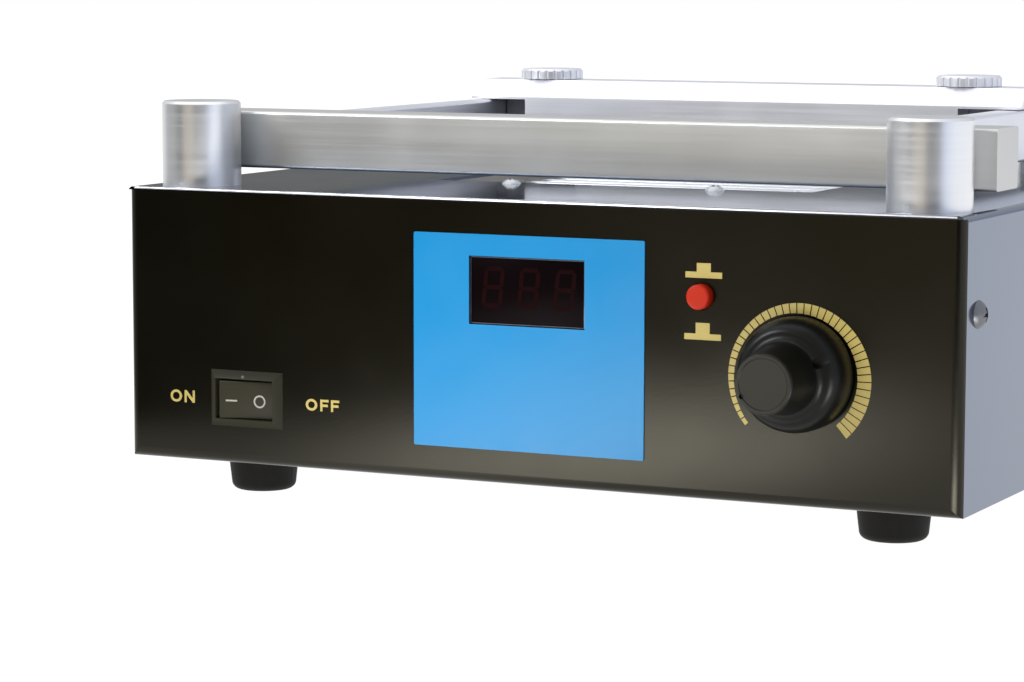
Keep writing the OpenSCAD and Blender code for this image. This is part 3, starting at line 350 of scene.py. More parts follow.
# Cloudy grey plate, darker where it is passivated
dull_zinc = metal("dull_zinc_plate", "#7C7D80", (0.30, 0.42), (1.2, 1.2, 1.2), 0.01)
zinc_plate = metal("bright_zinc_plate", "#C9CCD0", (0.22, 0.34), (1.2, 1.2, 1.2), 0.01)
# Nearly black, but with the shine of metal
black_oxide = metal("black_oxide_steel", "#3A3B3D", (0.35, 0.48), (0.8, 0.8, 0.8), 0.01)
# Bright thin lines of light along each wire
drawn_steel = metal("drawn_stainless_wire", "#B9BBBE", (0.24, 0.36), (0.6, 0.6, 0.6), 0.01)
# Bright sheet with warm, patchy stains of heat
reflector_sheet = metal("heat_stained_reflector", "#C6C2B8", (0.16, 0.30), (0.6, 60, 8), 0.006, 0.12)
# Warm yellow
brass = metal("stamped_brass", "#C9A45C", (0.25, 0.40), (0.6, 0.6, 8), 0.008)
# Long dull lines from the die
extruded_aluminium = metal("extruded_aluminium", "#A9ACB0", (0.35, 0.48), (0.7, 40, 0.7), 0.01)

# %% [markdown]
# ## Plastics, rubber, ink and the hidden materials
# Moulded plastic copies the spark-eroded surface of its mould, so it has a fine even grain; rubber has
# the same with more scatter. Ink is a thin even film. Ceramic, mineral wool, varnished laminations and
# the circuit board are inside the case and show through the window or the vents. One recipe with other
# grains and depths suits them all, because they are all even materials with a grain on top. Eroded grain
# is about 0.1 mm on the real object; it is drawn a few times coarser, so that it shows.

# %% Recipe for even materials
MOULD_CLOUD, SHEEN_SPREAD = 14, 0.12
SKIN_STRENGTH = 0.35


def moulded(name, colour, rough, grain, depth, lift=1.35, specular=0.5):
    """An even material: colour, mean roughness, grain size and depth in mm, and the palest tone's lift."""
    made, tree, bsdf = finish(name, Specular_IOR_Level=specular)
    place = add(tree, "TexCoord").outputs["Object"]
    skin = add(tree, "TexNoise", {"Vector": place, "Scale": 1 / (grain * MM), "Detail": 2.0})
    cloud = add(tree, "TexNoise", {"Vector": place, "Scale": 1 / (MOULD_CLOUD * MM), "Detail": 3.0})
    sheen = add(tree, "MapRange", {"Value": cloud.outputs["Fac"], "From Min": NOISE_LOW,
                                   "From Max": NOISE_HIGH, "To Min": rough * (1 - SHEEN_SPREAD),
                                   "To Max": rough * (1 + SHEEN_SPREAD)})
    base = linear(colour)
    worn = [min(1.0, c * lift) for c in base[:3]] + [1.0]
    tone = add(tree, "Mix", {0: cloud.outputs["Fac"], 6: base, 7: worn}, data_type="RGBA")
    surface(tree, bsdf, tone.outputs[2], sheen.outputs["Result"], skin.outputs["Fac"], SKIN_STRENGTH, depth)
    return made


print("every even material has clouds of about", MOULD_CLOUD, "mm")

# %% The plastics, inks and hidden materials
# Deep black with broad, soft highlights, and the matt dark grey of an eroded face
knob_abs = moulded("polished_black_abs", "#0A0A07", 0.33, 0.6, 0.003, 1.2, 0.2)
knob_face_abs = moulded("eroded_black_abs", "#1D1C12", 0.55, 0.35, 0.02, 1.35, 0.3)
# Dry dark greys with little gloss; the rocker is smoother, and the nub is painted paler, a painted
# highlight for the light that its small bump catches from above
switch_nylon = moulded("black_switch_nylon", "#27251B", 0.42, 0.5, 0.01, 1.35, 0.1)
nub_highlight_nylon = moulded("grey_nub_nylon_highlight", "#5A584E", 0.42, 0.5, 0.01, 1.35, 0.1)
rocker_nylon = moulded("satin_rocker_nylon", "#2A281D", 0.38, 0.5, 0.008, 1.35, 0.15)
# Plain black with a fine even grain
inlet_plastic = moulded("black_inlet_plastic", "#141414", 0.45, 0.5, 0.02)
# A warm satin red
button_plastic = moulded("red_button_plastic", "#A92208", 0.38, 0.5, 0.01, 1.1, 0.2)
# Black with hardly any gloss
foot_rubber = moulded("black_foot_rubber", "#0B0905", 0.62, 0.7, 0.04, 1.35, 0.25)
# An even blue with a soft sheen
label_film = moulded("blue_label_film", "#0878AD", 0.32, 0.8, 0.0003, 1.03, 0.48)
# Nearly black with a trace of red, slightly redder bars behind it, and a polished edge that is painted
# a paler grey than the acrylic, a painted highlight on top of its real gloss
filter_acrylic = moulded("smoked_red_acrylic", "#070203", 0.35, 2.0, 0.001, 1.2, 0.03)
led_segment = moulded("unlit_led_segment", "#150405", 0.35, 0.8, 0.002, 1.1, 0.03)
edge_highlight_acrylic = moulded("polished_acrylic_edge_highlight", "#55525C", 0.12, 1.0, 0.001, 1.1, 0.9)
# Flat, even films
gold_ink = moulded("gold_screen_ink", "#A99751", 0.45, 0.4, 0.004, 1.12)
white_ink = moulded("white_pad_print", "#96948B", 0.45, 0.4, 0.004, 1.05)
# Smooth green lacquer and dull black resin
board_resist = moulded("green_solder_resist", "#1D6B3C", 0.35, 1.2, 0.01)
black_epoxy = moulded("black_epoxy", "#1B1B1D", 0.5, 0.5, 0.02)
# Chalky, slightly rough off-white
fired_ceramic = moulded("fired_ceramic", "#C2BCB0", 0.75, 1.1, 0.08, 1.1)
# Deep, fluffy straw colour
mineral_wool = moulded("mineral_wool", "#CFC5AC", 0.95, 0.8, 0.25, 1.25)
# Brown varnish over the laminations
core_varnish = moulded("varnished_core", "#6E3F22", 0.4, 0.5, 0.02, 1.3)

# %% [markdown]
# ## Dressing the solids
# Most solids already have the right shape, so they keep it and only take a finish. The finish could be
# worked out from each name; a plain list of what wears which finish is easier to read and to change.

# %% Dress the solids
DRESS = {
    black_powder_coat: ["base_chassis"],
    rolled_steel: ["top_cover"],
    turned_aluminium: ["post_left", "post_right", "rail_spacers"],
    lock_aluminium: ["lock_knob_left", "lock_knob_right"],
    bar_aluminium: ["front_bar"],
    slider_aluminium: ["slider_bar"],
    rail_aluminium: ["rail_left", "rail_right"],
    grey_anodised_and_shade: ["jaw_left", "jaw_right"],
    milled_aluminium: ["pot_shaft"],
    zinc_plate: ["foot_screws", "tray_screws", "hex_nuts", "post_screws", "inlet_screws",
                 # The jaws' darker grey is partly painted shade from the gap under the slider
                 "floor_screws", "pot_nut", "transformer_frame"],
    dull_zinc: ["cover_screws"],
    black_oxide: ["bar_screws", "rail_screws", "knob_set_screw"],
    drawn_steel: ["guard_rods", "temperature_probe", "rail_dowels", "pot_body"],
    reflector_sheet: ["heater_tray"],
    brass: ["board_standoffs", "switch_terminals", "inlet_pins"],
    extruded_aluminium: ["triac_heatsink"],
    foot_rubber: ["rubber_feet"],
    label_film: ["panel_label"],
    filter_acrylic: ["display_window"],
    black_epoxy: ["led_display", "power_triac", "terminal_block"],
    board_resist: ["control_board"],
    switch_nylon: ["switch_housing", "button_body"],
    rocker_nylon: ["switch_rocker"],
    button_plastic: ["button_cap"],
    knob_abs: ["control_knob"],
    inlet_plastic: ["mains_inlet"],
    fired_ceramic: ["heater_emitters"],
    mineral_wool: ["insulating_pad"],
    core_varnish: ["transformer"],
}
for coat, names in DRESS.items():
    for name in names:
        nodes[name].data.materials.clear()
        nodes[name].data.materials.append(coat)
print("dressed:", sum(len(names) for names in DRESS.values()), "of", len(nodes))

# %% [markdown]
# ## Modelling by hand
# An operator acts on all that is selected, so everything is deselected before a new piece starts. Panel
# pieces are modelled flat, with X to the right, Y up and Z out of the panel, and stood up at the end;
# they could be modelled in place, but flat sizes are the ones that can be read off a drawing. Every
# piece rides on a body, so it moves with that body's joint.

# %% Selecting, placing and fitting
PANEL_Y = -100
PANEL_LOW = 12


def clear_selection():
    """Leaves edit mode and deselects everything."""
    if bpy.context.object and bpy.context.object.mode == "EDIT":
        bpy.ops.object.mode_set(mode="OBJECT")
    bpy.ops.object.select_all(action="DESELECT")


def only(piece):
    """Selects one piece and makes it the active one."""
    clear_selection()
    bpy.context.view_layer.objects.active = piece
    piece.select_set(True)


def on_panel(x, z):
    """Where a flat piece goes: x from the panel's middle, z from its lower edge, in mm."""
    stand = Matrix.Rotation(math.pi / 2, 4, "X")
    return Matrix.Translation((x * MM, PANEL_Y * MM, (z + PANEL_LOW) * MM)) @ stand


def fit(piece, name, place, body, coat, stands_for=()):
    """Puts a finished piece in its place, in its mesh, and lets it ride on a body."""
    only(piece)
    piece.matrix_world = place
    bpy.ops.object.transform_apply(location=True, rotation=True, scale=True)
    piece.name = piece.data.name = name
    if not piece.data.materials:
        piece.data.materials.append(coat)
    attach(piece, body)
    if stands_for:
        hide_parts(*stands_for)
    print(name, "on", body, "with", len(piece.data.polygons), "faces")


print("panel front at", PANEL_Y, "mm, lower edge at", PANEL_LOW, "mm")

# %% [markdown]
# ## The knob
# The heater knob is one bell of glossy ABS: a short skirt, a rounded shoulder, a waist and a straight
# grip with a matt, eroded front face inside a fine rim. It could be a spun profile or a lathe of rings;
# rings are chosen because each one can be read as a radius and a height. The set screw's hole and the
# pointer notch are drilled afterwards.

# %% Turning from ring to ring
EDGE_ARC = range(0, 91, 15)


def extrude(move=(0, 0, 0), scale=None, middle=(0, 0, 0)):
    """Extrudes the selected faces by a move in mm and may scale them about a middle in mm."""
    bpy.ops.mesh.extrude_region_move(TRANSFORM_OT_translate={"value": [m * MM for m in move]})
    if scale:
        bpy.ops.transform.resize(value=scale, center_override=[m * MM for m in middle])


def turned(rings, sides):
    """Turns a piece as on a lathe: a filled circle is extruded from ring to ring, (radius, height) in mm."""
    clear_selection()
    radius, height = rings[0]
    bpy.ops.mesh.primitive_circle_add(vertices=sides, radius=radius * MM, fill_type="NGON",
                                      location=(0, 0, height * MM))
    bpy.ops.object.transform_apply(location=True, rotation=True, scale=True)
    bpy.ops.object.mode_set(mode="EDIT")
    bpy.ops.mesh.select_all(action="SELECT")
    for next_radius, next_height in rings[1:]:
        grow = next_radius / radius
        extrude((0, 0, next_height - height), (grow, grow, 1), (0, 0, next_height))
        radius, height = next_radius, next_height
    bpy.ops.mesh.select_all(action="SELECT")
    bpy.ops.mesh.normals_make_consistent(inside=False)
    bpy.ops.object.mode_set(mode="OBJECT")
    return bpy.context.object


def arc(middle, reach, degrees):
    """Rings along a part of an ellipse; its middle and its reach are (radius, height) in mm."""
    angles = [math.radians(d) for d in degrees]
    return [(middle[0] + reach[0] * math.cos(a), middle[1] + reach[1] * math.sin(a)) for a in angles]


print("a round edge takes", len(EDGE_ARC), "rings")

# %% Turn the knob
KNOB_X, KNOB_Z, KNOB_OUT = 84.8, 37.2, 27.0
SKIRT_R, GRIP_R, DRAFT = 16.0, 8.4, 1.4
KNOB_GAP, SKIRT_TOP, SHOULDER_H = 0.8, 3.0, 8.2
SKIRT_EDGE, WAIST_R, FACE_EDGE = 0.3, 2.2, 0.8
RIM_W, RIM_SLOPE, RIM_DEEP, FACE_IN = 1.3, 0.2, 0.15, 3.5
HOLLOW_R, HOLLOW_TOP = 13.5, 7.2
SHOULDER_ARC, WAIST_ARC = range(0, 91, 6), range(-105, -181, -15)
KNOB_SIDES = 96

root_r = GRIP_R + DRAFT
waist_in = root_r + WAIST_R
waist_z = SKIRT_TOP + SHOULDER_H + WAIST_R
face_z = KNOB_OUT - RIM_DEEP
rings = [(HOLLOW_R, HOLLOW_TOP), (HOLLOW_R, KNOB_GAP)]
rings += [(SKIRT_R - SKIRT_EDGE, KNOB_GAP), (SKIRT_R, KNOB_GAP + SKIRT_EDGE)]
rings += arc((waist_in, SKIRT_TOP), (SKIRT_R - waist_in, SHOULDER_H), SHOULDER_ARC)
rings += arc((waist_in, waist_z), (WAIST_R, WAIST_R), WAIST_ARC)
rings += arc((GRIP_R - FACE_EDGE, KNOB_OUT - FACE_EDGE), (FACE_EDGE, FACE_EDGE), EDGE_ARC)
rings += [(GRIP_R - RIM_W, KNOB_OUT), (GRIP_R - RIM_W - RIM_SLOPE, face_z), (GRIP_R - FACE_IN, face_z)]
knob = turned(rings, KNOB_SIDES)
print("knob turned from", len(rings), "rings")

# %% Drill the knob
BORE_R, BORE_DEEP = 3.05, 18.2
HOLE_R, HOLE_Z, HOLE_LONG = 1.4, 11.6, 24.0
NOTCH_R, NOTCH_LONG = 0.7, 1.6
HOLE_TURN, POINTER_TURN = math.radians(25), math.radians(210)
BIT_SIDES = 32


def outward(angle):
    """The direction away from the axis at an angle."""
    return Vector((math.cos(angle), math.sin(angle), 0))


def drill(piece, radius, long, middle, turn=(0, 0, 0)):
    """Cuts a round hole with a cylinder, in mm."""
    clear_selection()
    bpy.ops.mesh.primitive_cylinder_add(vertices=BIT_SIDES, radius=radius * MM, depth=long * MM,
                                        location=[m * MM for m in middle], rotation=turn)
    bit = bpy.context.object
    only(piece)
    bpy.ops.object.modifier_add(type="BOOLEAN")
    hole = piece.modifiers[-1]
    hole.object = bit
    hole.operation = "DIFFERENCE"
    hole.solver = "EXACT"
    bpy.ops.object.modifier_apply(modifier=hole.name)
    bpy.data.objects.remove(bit, do_unlink=True)


hole_way = outward(HOLE_TURN)
hole_start = Vector((0, 0, HOLE_Z))
notch = outward(POINTER_TURN) * (GRIP_R - RIM_W) + Vector((0, 0, KNOB_OUT))
drill(knob, BORE_R, BORE_DEEP, (0, 0, BORE_DEEP / 2))
drill(knob, HOLE_R, HOLE_LONG, hole_way * (HOLE_LONG / 2) + hole_start, (0, math.pi / 2, HOLE_TURN))
drill(knob, NOTCH_R, NOTCH_LONG, notch)
print("knob with its bore, screw hole and notch:", len(knob.data.vertices), "points")

# %% Dress the knob
KNOB_SMOOTH = math.radians(35)
# The part of a normal along an axis above which a face looks that way, and below which it lies along it
FACING, ALONG = 0.9, 0.1
SLACK = 0.01
# The wall of the screw's hole is looked for from this far off the axis
HOLE_FROM = 4.0

only(knob)
bpy.ops.object.shade_smooth_by_angle(angle=KNOB_SMOOTH)
# Glossy outside, matt on the front face, and dull in the screw's hole, which stays dark that way
for coat in (knob_abs, knob_face_abs, foot_rubber):
    knob.data.materials.append(coat)
for face in knob.data.polygons:
    low = min(knob.data.vertices[v].co.z for v in face.vertices)
    on_face = low > (face_z - SLACK) * MM and face.normal.z > FACING
    from_start = face.center - hole_start * MM
    along_hole = from_start.dot(hole_way)
    off_hole = (from_start - hole_way * along_hole).length
    in_hole = along_hole > HOLE_FROM * MM and off_hole < HOLE_R * MM
    hole_wall = in_hole and abs(face.normal.dot(hole_way)) < ALONG
    face.material_index = 2 if hole_wall else int(on_face)
fit(knob, "knob_bell", on_panel(KNOB_X, KNOB_Z), "knob", knob_abs, ["control_knob"])

# %% [markdown]
# ## The switch frame
# The switch snaps into the panel: a bevelled nylon frame round a deep well, with a small round nub on
# its upper bevel. The frame could be cut out of blocks. One block is enough, because its front can be
# narrowed for the bevel, stepped in and pushed down for the well, and its back pulled out for the body.

# %% Blocks, picked faces and soft edges
SOFT_ANGLE = math.radians(30)


def block(size, middle):
    """A cube of a size in mm at a middle in mm, with its scale applied, left in edit mode."""
    clear_selection()
    bpy.ops.mesh.primitive_cube_add(size=1, location=[m * MM for m in middle])
    piece = bpy.context.object
    piece.scale = [s * MM for s in size]
    bpy.ops.object.transform_apply(location=True, rotation=True, scale=True)
    bpy.ops.object.mode_set(mode="EDIT")
    return piece


def pick(piece, test):
    """In edit mode, selects the faces whose middle, in mm, and normal pass the test."""
    bpy.ops.mesh.select_mode(type="FACE")
    bpy.ops.mesh.select_all(action="DESELECT")
    mesh = bmesh.from_edit_mesh(piece.data)
    for face in mesh.faces:
        face.select_set(bool(test(face.calc_center_median() / MM, face.normal)))
    bmesh.update_edit_mesh(piece.data)


def soften(piece, width, segments=2):
    """Rounds the sharp edges to a width in mm and smooths the shading of the rest."""
    only(piece)
    bpy.ops.object.modifier_add(type="BEVEL")
    bevel = piece.modifiers[-1]
    bevel.width = width * MM
    bevel.segments = segments
    bevel.limit_method = "ANGLE"
    bevel.angle_limit = SOFT_ANGLE
    bpy.ops.object.modifier_apply(modifier=bevel.name)
    bpy.ops.object.shade_smooth_by_angle(angle=SOFT_ANGLE)


print("edges sharper than", round(math.degrees(SOFT_ANGLE)), "degrees are rounded")

# %% Switch frame
SWITCH_X, SWITCH_Z = -90.5, 19.7
FRAME_W, FRAME_H, FRAME_T = 24.6, 17.0, 2.0
BEVEL, FRAME_EDGE = 2.3, 0.2
WELL_W, WELL_H, WELL_DEEP = 19.5, 12.0, 9.0
BODY_WALL, BODY_DEEP = 1.0, 18.0
# Places closer than this, in mm, count as the same
NEAR = 0.1

switch_place = on_panel(SWITCH_X, SWITCH_Z)
front_w, front_h = FRAME_W - 2 * BEVEL, FRAME_H - 2 * BEVEL
body_w, body_h = WELL_W + 2 * BODY_WALL, WELL_H + 2 * BODY_WALL
switch_frame = block((FRAME_W, FRAME_H, FRAME_T), (0, 0, FRAME_T / 2))
pick(switch_frame, lambda c, n: n.z > FACING)
bpy.ops.transform.resize(value=(front_w / FRAME_W, front_h / FRAME_H, 1),
                         center_override=(0, 0, FRAME_T * MM))
extrude((0, 0, 0), (WELL_W / front_w, WELL_H / front_h, 1), (0, 0, FRAME_T))
extrude((0, 0, -FRAME_T - WELL_DEEP))
pick(switch_frame, lambda c, n: n.z < -FACING and abs(c.z) < NEAR)
extrude((0, 0, 0), (body_w / FRAME_W, body_h / FRAME_H, 1), (0, 0, 0))
extrude((0, 0, -BODY_DEEP))
soften(switch_frame, FRAME_EDGE)
fit(switch_frame, "switch_frame", switch_place, "housing", switch_nylon,
    ["switch_housing"])

# %% Switch nub
NUB_X, NUB_Y, NUB_EDGE, NUB_SIDES = -0.4, 6.75, 0.03, 20
NUB_RINGS = [(0.55, -0.1), (0.55, 0.1), (0.48, 0.3), (0.32, 0.42), (0.12, 0.47)]

nub = turned(NUB_RINGS, NUB_SIDES)
soften(nub, NUB_EDGE)
on_bevel = Vector((NUB_X, NUB_Y, (FRAME_H / 2 - NUB_Y) * FRAME_T / BEVEL)) * MM
lean = Matrix.Rotation(-math.atan2(FRAME_T, BEVEL), 4, "X")
# The nub wears the paler nylon, a painted highlight on its small bump
fit(nub, "switch_nub", switch_place @ Matrix.Translation(on_bevel) @ lean, "housing", nub_highlight_nylon)

# %% [markdown]
# ## The rocker and its signs
# The nylon rocker has a slightly dished face and stands tilted, with its right end pressed in. The dish
# could be sculpted; here a block is cut across its middle and the cut is pushed down, which gives two
# shallow slopes. The signs are pad printed, so they are thin solids that lie on those slopes.

# %% Rocker
ROCKER_W, ROCKER_H, ROCKER_Y = 17.8, 11.2, -0.2
ROCKER_RISE, ROCKER_SIDE, ROCKER_DISH = 4.0, 1.6, 0.35
ROCKER_FOOT, ROCKER_FOOT_W = 2.5, 8.0
ROCKER_EDGE, ROCKER_EDGE_STEPS = 0.3, 3
PIVOT_OUT = -2.95
TILT = math.radians(8)

rocker = block((ROCKER_W, ROCKER_H, ROCKER_SIDE), (0, ROCKER_Y, ROCKER_RISE - ROCKER_SIDE / 2))
bpy.ops.mesh.select_all(action="SELECT")
bpy.ops.mesh.bisect(plane_co=(0, 0, 0), plane_no=(1, 0, 0))
pick(rocker, lambda c, n: n.z < -FACING)
extrude((0, 0, ROCKER_SIDE - ROCKER_RISE - ROCKER_FOOT), (ROCKER_FOOT_W / ROCKER_W, 1, 1),
        (0, 0, -ROCKER_FOOT))
bpy.ops.mesh.select_mode(type="VERT")
for vert in bmesh.from_edit_mesh(rocker.data).verts:
    vert.select_set(abs(vert.co.x) < NEAR * MM and vert.co.z > (ROCKER_RISE - NEAR) * MM)
bpy.ops.transform.translate(value=(0, 0, -ROCKER_DISH * MM))
soften(rocker, ROCKER_EDGE, ROCKER_EDGE_STEPS)
pivot = Matrix.Translation((0, 0, PIVOT_OUT * MM))
rocker_place = switch_place @ pivot @ Matrix.Rotation(TILT, 4, "Y")
fit(rocker, "rocker_cap", rocker_place, "rocker", rocker_nylon, ["switch_rocker"])

# %% Signs on the rocker
SIGN_Y, SIGN_T, SIGN_EDGE = -0.5, 0.05, 0.015
ON_X, ON_LONG, ON_WIDE = -5.0, 3.6, 0.52
OFF_X, OFF_R, OFF_HOLE_R = 4.0, 1.92, 1.42
RING_SIDES = 48


def on_rocker(x):
    """Where a sign goes on the rocker's dished face, x in mm from its middle."""
    half = ROCKER_W / 2
    height = ROCKER_RISE - ROCKER_DISH * (1 - abs(x) / half)
    slope = math.atan2(ROCKER_DISH, half) * (-1 if x > 0 else 1)
    spot = Matrix.Translation((x * MM, SIGN_Y * MM, height * MM))
    return rocker_place @ spot @ Matrix.Rotation(slope, 4, "Y")


def ring(outer, inner, thick):
    """A flat ring, radii and thickness in mm: a turned rim whose middle is opened and bridged."""
    half = thick / 2
    piece = turned([(inner, -half), (outer, -half), (outer, half), (inner, half)], RING_SIDES)
    bpy.ops.object.mode_set(mode="EDIT")
    pick(piece, lambda c, n: c.length < inner / 4)
    bpy.ops.mesh.delete(type="ONLY_FACE")
    bpy.ops.mesh.select_mode(type="EDGE")
    bpy.ops.mesh.select_all(action="DESELECT")
    for edge in bmesh.from_edit_mesh(piece.data).edges:
        edge.select_set(edge.is_boundary)
    bpy.ops.mesh.bridge_edge_loops()
    bpy.ops.mesh.select_all(action="SELECT")
    bpy.ops.mesh.normals_make_consistent(inside=False)
    bpy.ops.object.mode_set(mode="OBJECT")
    return piece


stroke = block((ON_LONG, ON_WIDE, SIGN_T), (0, 0, 0))
soften(stroke, SIGN_EDGE, 1)
fit(stroke, "sign_on", on_rocker(ON_X), "rocker", white_ink)
fit(ring(OFF_R, OFF_HOLE_R, SIGN_T), "sign_off", on_rocker(OFF_X), "rocker", white_ink)

# %% [markdown]
# ## The display
# A block of smoked red acrylic in the panel, held from behind by its lip. Its front edge is bevelled and
# polished, and those faces are painted a paler grey than the acrylic, a painted highlight; together they
# show as thin bright lines above and below it. The lines could be painted on alone; here the real bevel
# catches the light from every side and the paler paint adds to it.

# %% Display filter
DISPLAY_X, DISPLAY_Z = 1.9, 55.8
FILTER_W, FILTER_H = 36.3, 19.5
LIP, LIP_T = 2.4, 1.4
FILTER_BACK, FILTER_FRONT = -2.6, -0.3
FILTER_EDGE, HIGHLIGHT_DEEP, FLAT_FACE = 0.35, 0.4, 0.95

lip_w, lip_h = FILTER_W + 2 * LIP, FILTER_H + 2 * LIP
display = block((lip_w, lip_h, LIP_T), (0, 0, FILTER_BACK + LIP_T / 2))
pick(display, lambda c, n: n.z > FACING)
extrude((0, 0, 0), (FILTER_W / lip_w, FILTER_H / lip_h, 1), (0, 0, 0))
extrude((0, 0, FILTER_FRONT - FILTER_BACK - LIP_T))
soften(display, FILTER_EDGE)
# The bevel's faces near the front take the paler edge finish, a painted highlight along the lines
for coat in (filter_acrylic, edge_highlight_acrylic):
    display.data.materials.append(coat)
for face in display.data.polygons:
    in_front = face.center.z > (FILTER_FRONT - HIGHLIGHT_DEEP) * MM
    face.material_index = int(in_front and face.normal.z < FLAT_FACE)
fit(display, "display_filter", on_panel(DISPLAY_X, DISPLAY_Z), "housing", filter_acrylic,
    ["display_window"])

# %% [markdown]
# ## The unlit digits
# Three seven-segment digits show through the filter as dull red bars. They could be a pattern in the
# filter's finish, but then the mesh would not have them. The filter's finish here lets no light through,
# so the bars lie on its front, hardly proud of it. One upright and one lying bar are modelled, as a
# hexagon that is pulled long, and copied to the places of a digit.

# %% The two bars of a digit
DIGIT_H, DIGIT_W = 10.6, 5.2
BAR_T, BAR_GAP, BAR_OUT = 1.4, 0.15, 0.04


def digit_bar(long):
    """An upright hexagon, pulled to a length and thickened, in mm."""
    clear_selection()
    bpy.ops.mesh.primitive_circle_add(vertices=6, radius=BAR_T / 2 * MM, fill_type="NGON")
    piece = bpy.context.object
    bpy.ops.object.mode_set(mode="EDIT")
    bpy.ops.mesh.select_mode(type="VERT")
    for side in (-1, 1):
        bpy.ops.mesh.select_all(action="DESELECT")
        for vert in bmesh.from_edit_mesh(piece.data).verts:
            vert.select_set(side * vert.co.y > 0)
        pull = side * ((long - BAR_T) / 2 - BAR_GAP)
        bpy.ops.transform.translate(value=(0, pull * MM, 0))
    bpy.ops.mesh.select_all(action="SELECT")
    extrude((0, 0, BAR_OUT))
    bpy.ops.mesh.select_all(action="SELECT")
    bpy.ops.mesh.normals_make_consistent(inside=False)
    bpy.ops.object.mode_set(mode="OBJECT")
    return piece


upright_bar, lying_bar = digit_bar(DIGIT_H / 2), digit_bar(DIGIT_W)
lying_bar.rotation_euler.z = math.pi / 2
print("bars of", len(upright_bar.data.vertices), "points each")

# %% Unlit digits
DIGIT_PITCH, SLANT = 11.3, math.tan(math.radians(6))
DIGITS_X, DIGITS_Z, DIGITS_SUNK = 0.5, 1.0, 0.01
# Each bar's place in half widths across and quarter heights up, and whether it stands upright
BARS = [(0, up, False) for up in (2, 0, -2)]
BARS += [(across, up, True) for up in (1, -1) for across in (-1, 1)]


def joined(pieces):
    """Makes one piece of several, with their places in its mesh."""
    clear_selection()
    for piece in pieces:
        piece.select_set(True)
    bpy.context.view_layer.objects.active = pieces[0]
    bpy.ops.object.transform_apply(location=True, rotation=True, scale=True)
    bpy.ops.object.join()
    return bpy.context.object


bars = []
for digit in (-1, 0, 1):
    for across, up, upright in BARS:
        only(upright_bar if upright else lying_bar)
        bpy.ops.object.duplicate()
        bar = bpy.context.object
        bar.location.x = (digit * DIGIT_PITCH + across * DIGIT_W / 2) * MM
        bar.location.y = up * DIGIT_H / 4 * MM
        bars.append(bar)
for model in (upright_bar, lying_bar):
    bpy.data.objects.remove(model, do_unlink=True)
digits = joined(bars)
slanted = Matrix.Identity(4)
slanted[0][1] = SLANT
digits.data.transform(slanted)
on_filter = Matrix.Translation((0, 0, (FILTER_FRONT - DIGITS_SUNK) * MM))
fit(digits, "unlit_digits", on_panel(DISPLAY_X + DIGITS_X, DISPLAY_Z + DIGITS_Z) @ on_filter,
    "housing", led_segment)

# %% [markdown]
# ## Words at the switch
# The words, the dial's ring of ticks and the two signs at the button are gold ink, printed on the coat.
# Blender's text objects could make the words, but these letters are plainer and wider than its font, so
# each is drawn from a stem or a ring. All prints are very thin solids, so the mesh has them too.

# %% Letters
INK, STROKE = 0.05, 0.74
# In strokes: the foot of the N's slope, the F's middle arm above and below its middle, and its set-back
N_FOOT, F_ARM_UP, F_ARM_DOWN, F_ARM_SHORT = 1.75, 0.45, 0.55, 1.35


def letter_o(width, height):
    """A ring of 1 mm that is pulled to the letter's width and height, in mm."""
    piece = ring(0.5, 0.5 - STROKE / height, INK)
    only(piece)
    bpy.ops.transform.resize(value=(width, height, 1), center_override=(0, 0, 0))
    bpy.ops.object.transform_apply(location=True, rotation=True, scale=True)
    return piece


def stem(width, height, cuts):
    """A letter's left stem, in mm, cut across at heights from its middle and left in edit mode."""
    piece = block((STROKE, height, INK), ((STROKE - width) / 2, 0, 0))
    for cut in cuts:
        bpy.ops.mesh.select_all(action="SELECT")
        bpy.ops.mesh.bisect(plane_co=(0, cut * MM, 0), plane_no=(0, 1, 0))
    return piece


def letter_n(width, height):
    """A stem whose upper side is pulled down to the foot of the second stem, in mm."""
    foot = N_FOOT * STROKE
    piece = stem(width, height, [height / 2 - foot])
    pick(piece, lambda c, n: n.x > FACING and c.y > height / 2 - foot)
    extrude((width - 2 * STROKE, foot - height, 0))
    extrude((STROKE, 0, 0))
    pick(piece, lambda c, n: n.y > FACING and c.x > width / 2 - STROKE)
    extrude((0, height - foot, 0))
    bpy.ops.object.mode_set(mode="OBJECT")
    return piece


def letter_f(width, height):
    """A stem with two arms pulled out of its right side, in mm."""
    top, arm_up, arm_down = height / 2 - STROKE, STROKE * F_ARM_UP, -STROKE * F_ARM_DOWN
    piece = stem(width, height, [top, arm_up, arm_down])
    pick(piece, lambda c, n: n.x > FACING and c.y > top)
    extrude((width - STROKE, 0, 0))
    pick(piece, lambda c, n: n.x > FACING and arm_down < c.y < arm_up and c.x < 0)
    extrude((width - STROKE * F_ARM_SHORT, 0, 0))
    bpy.ops.object.mode_set(mode="OBJECT")
    return piece


print("letters with strokes of", STROKE, "mm")

# %% Words at the switch
WORD_ON = [(letter_o, 0, 4.0), (letter_n, 4.9, 3.6)]
WORD_OFF = [(letter_o, 0, 3.9), (letter_f, 4.9, 2.8), (letter_f, 8.5, 2.8)]


def printed_word(name, letters, left, low, height):
    """Letters as (maker, start, width) in a row, in mm from the panel's middle and its lower edge."""
    row = []
    for maker, start, width in letters:
        piece = maker(width, height)
        piece.location.x = (start + width / 2) * MM
        row.append(piece)
    fit(joined(row), name, on_panel(left, low + height / 2), "housing", gold_ink)


printed_word("print_on", WORD_ON, -117.1, 17.5, 3.7)
printed_word("print_off", WORD_OFF, -70.4, 17.6, 3.5)

# %% [markdown]
# ## The dial
# A ring of ticks round the knob, which grow longer towards the hot end. They could be copied one by one
# with an array; spin makes all of them from one tick in a single step, and their inner ends are then
# pulled out, each a little more than the one before.

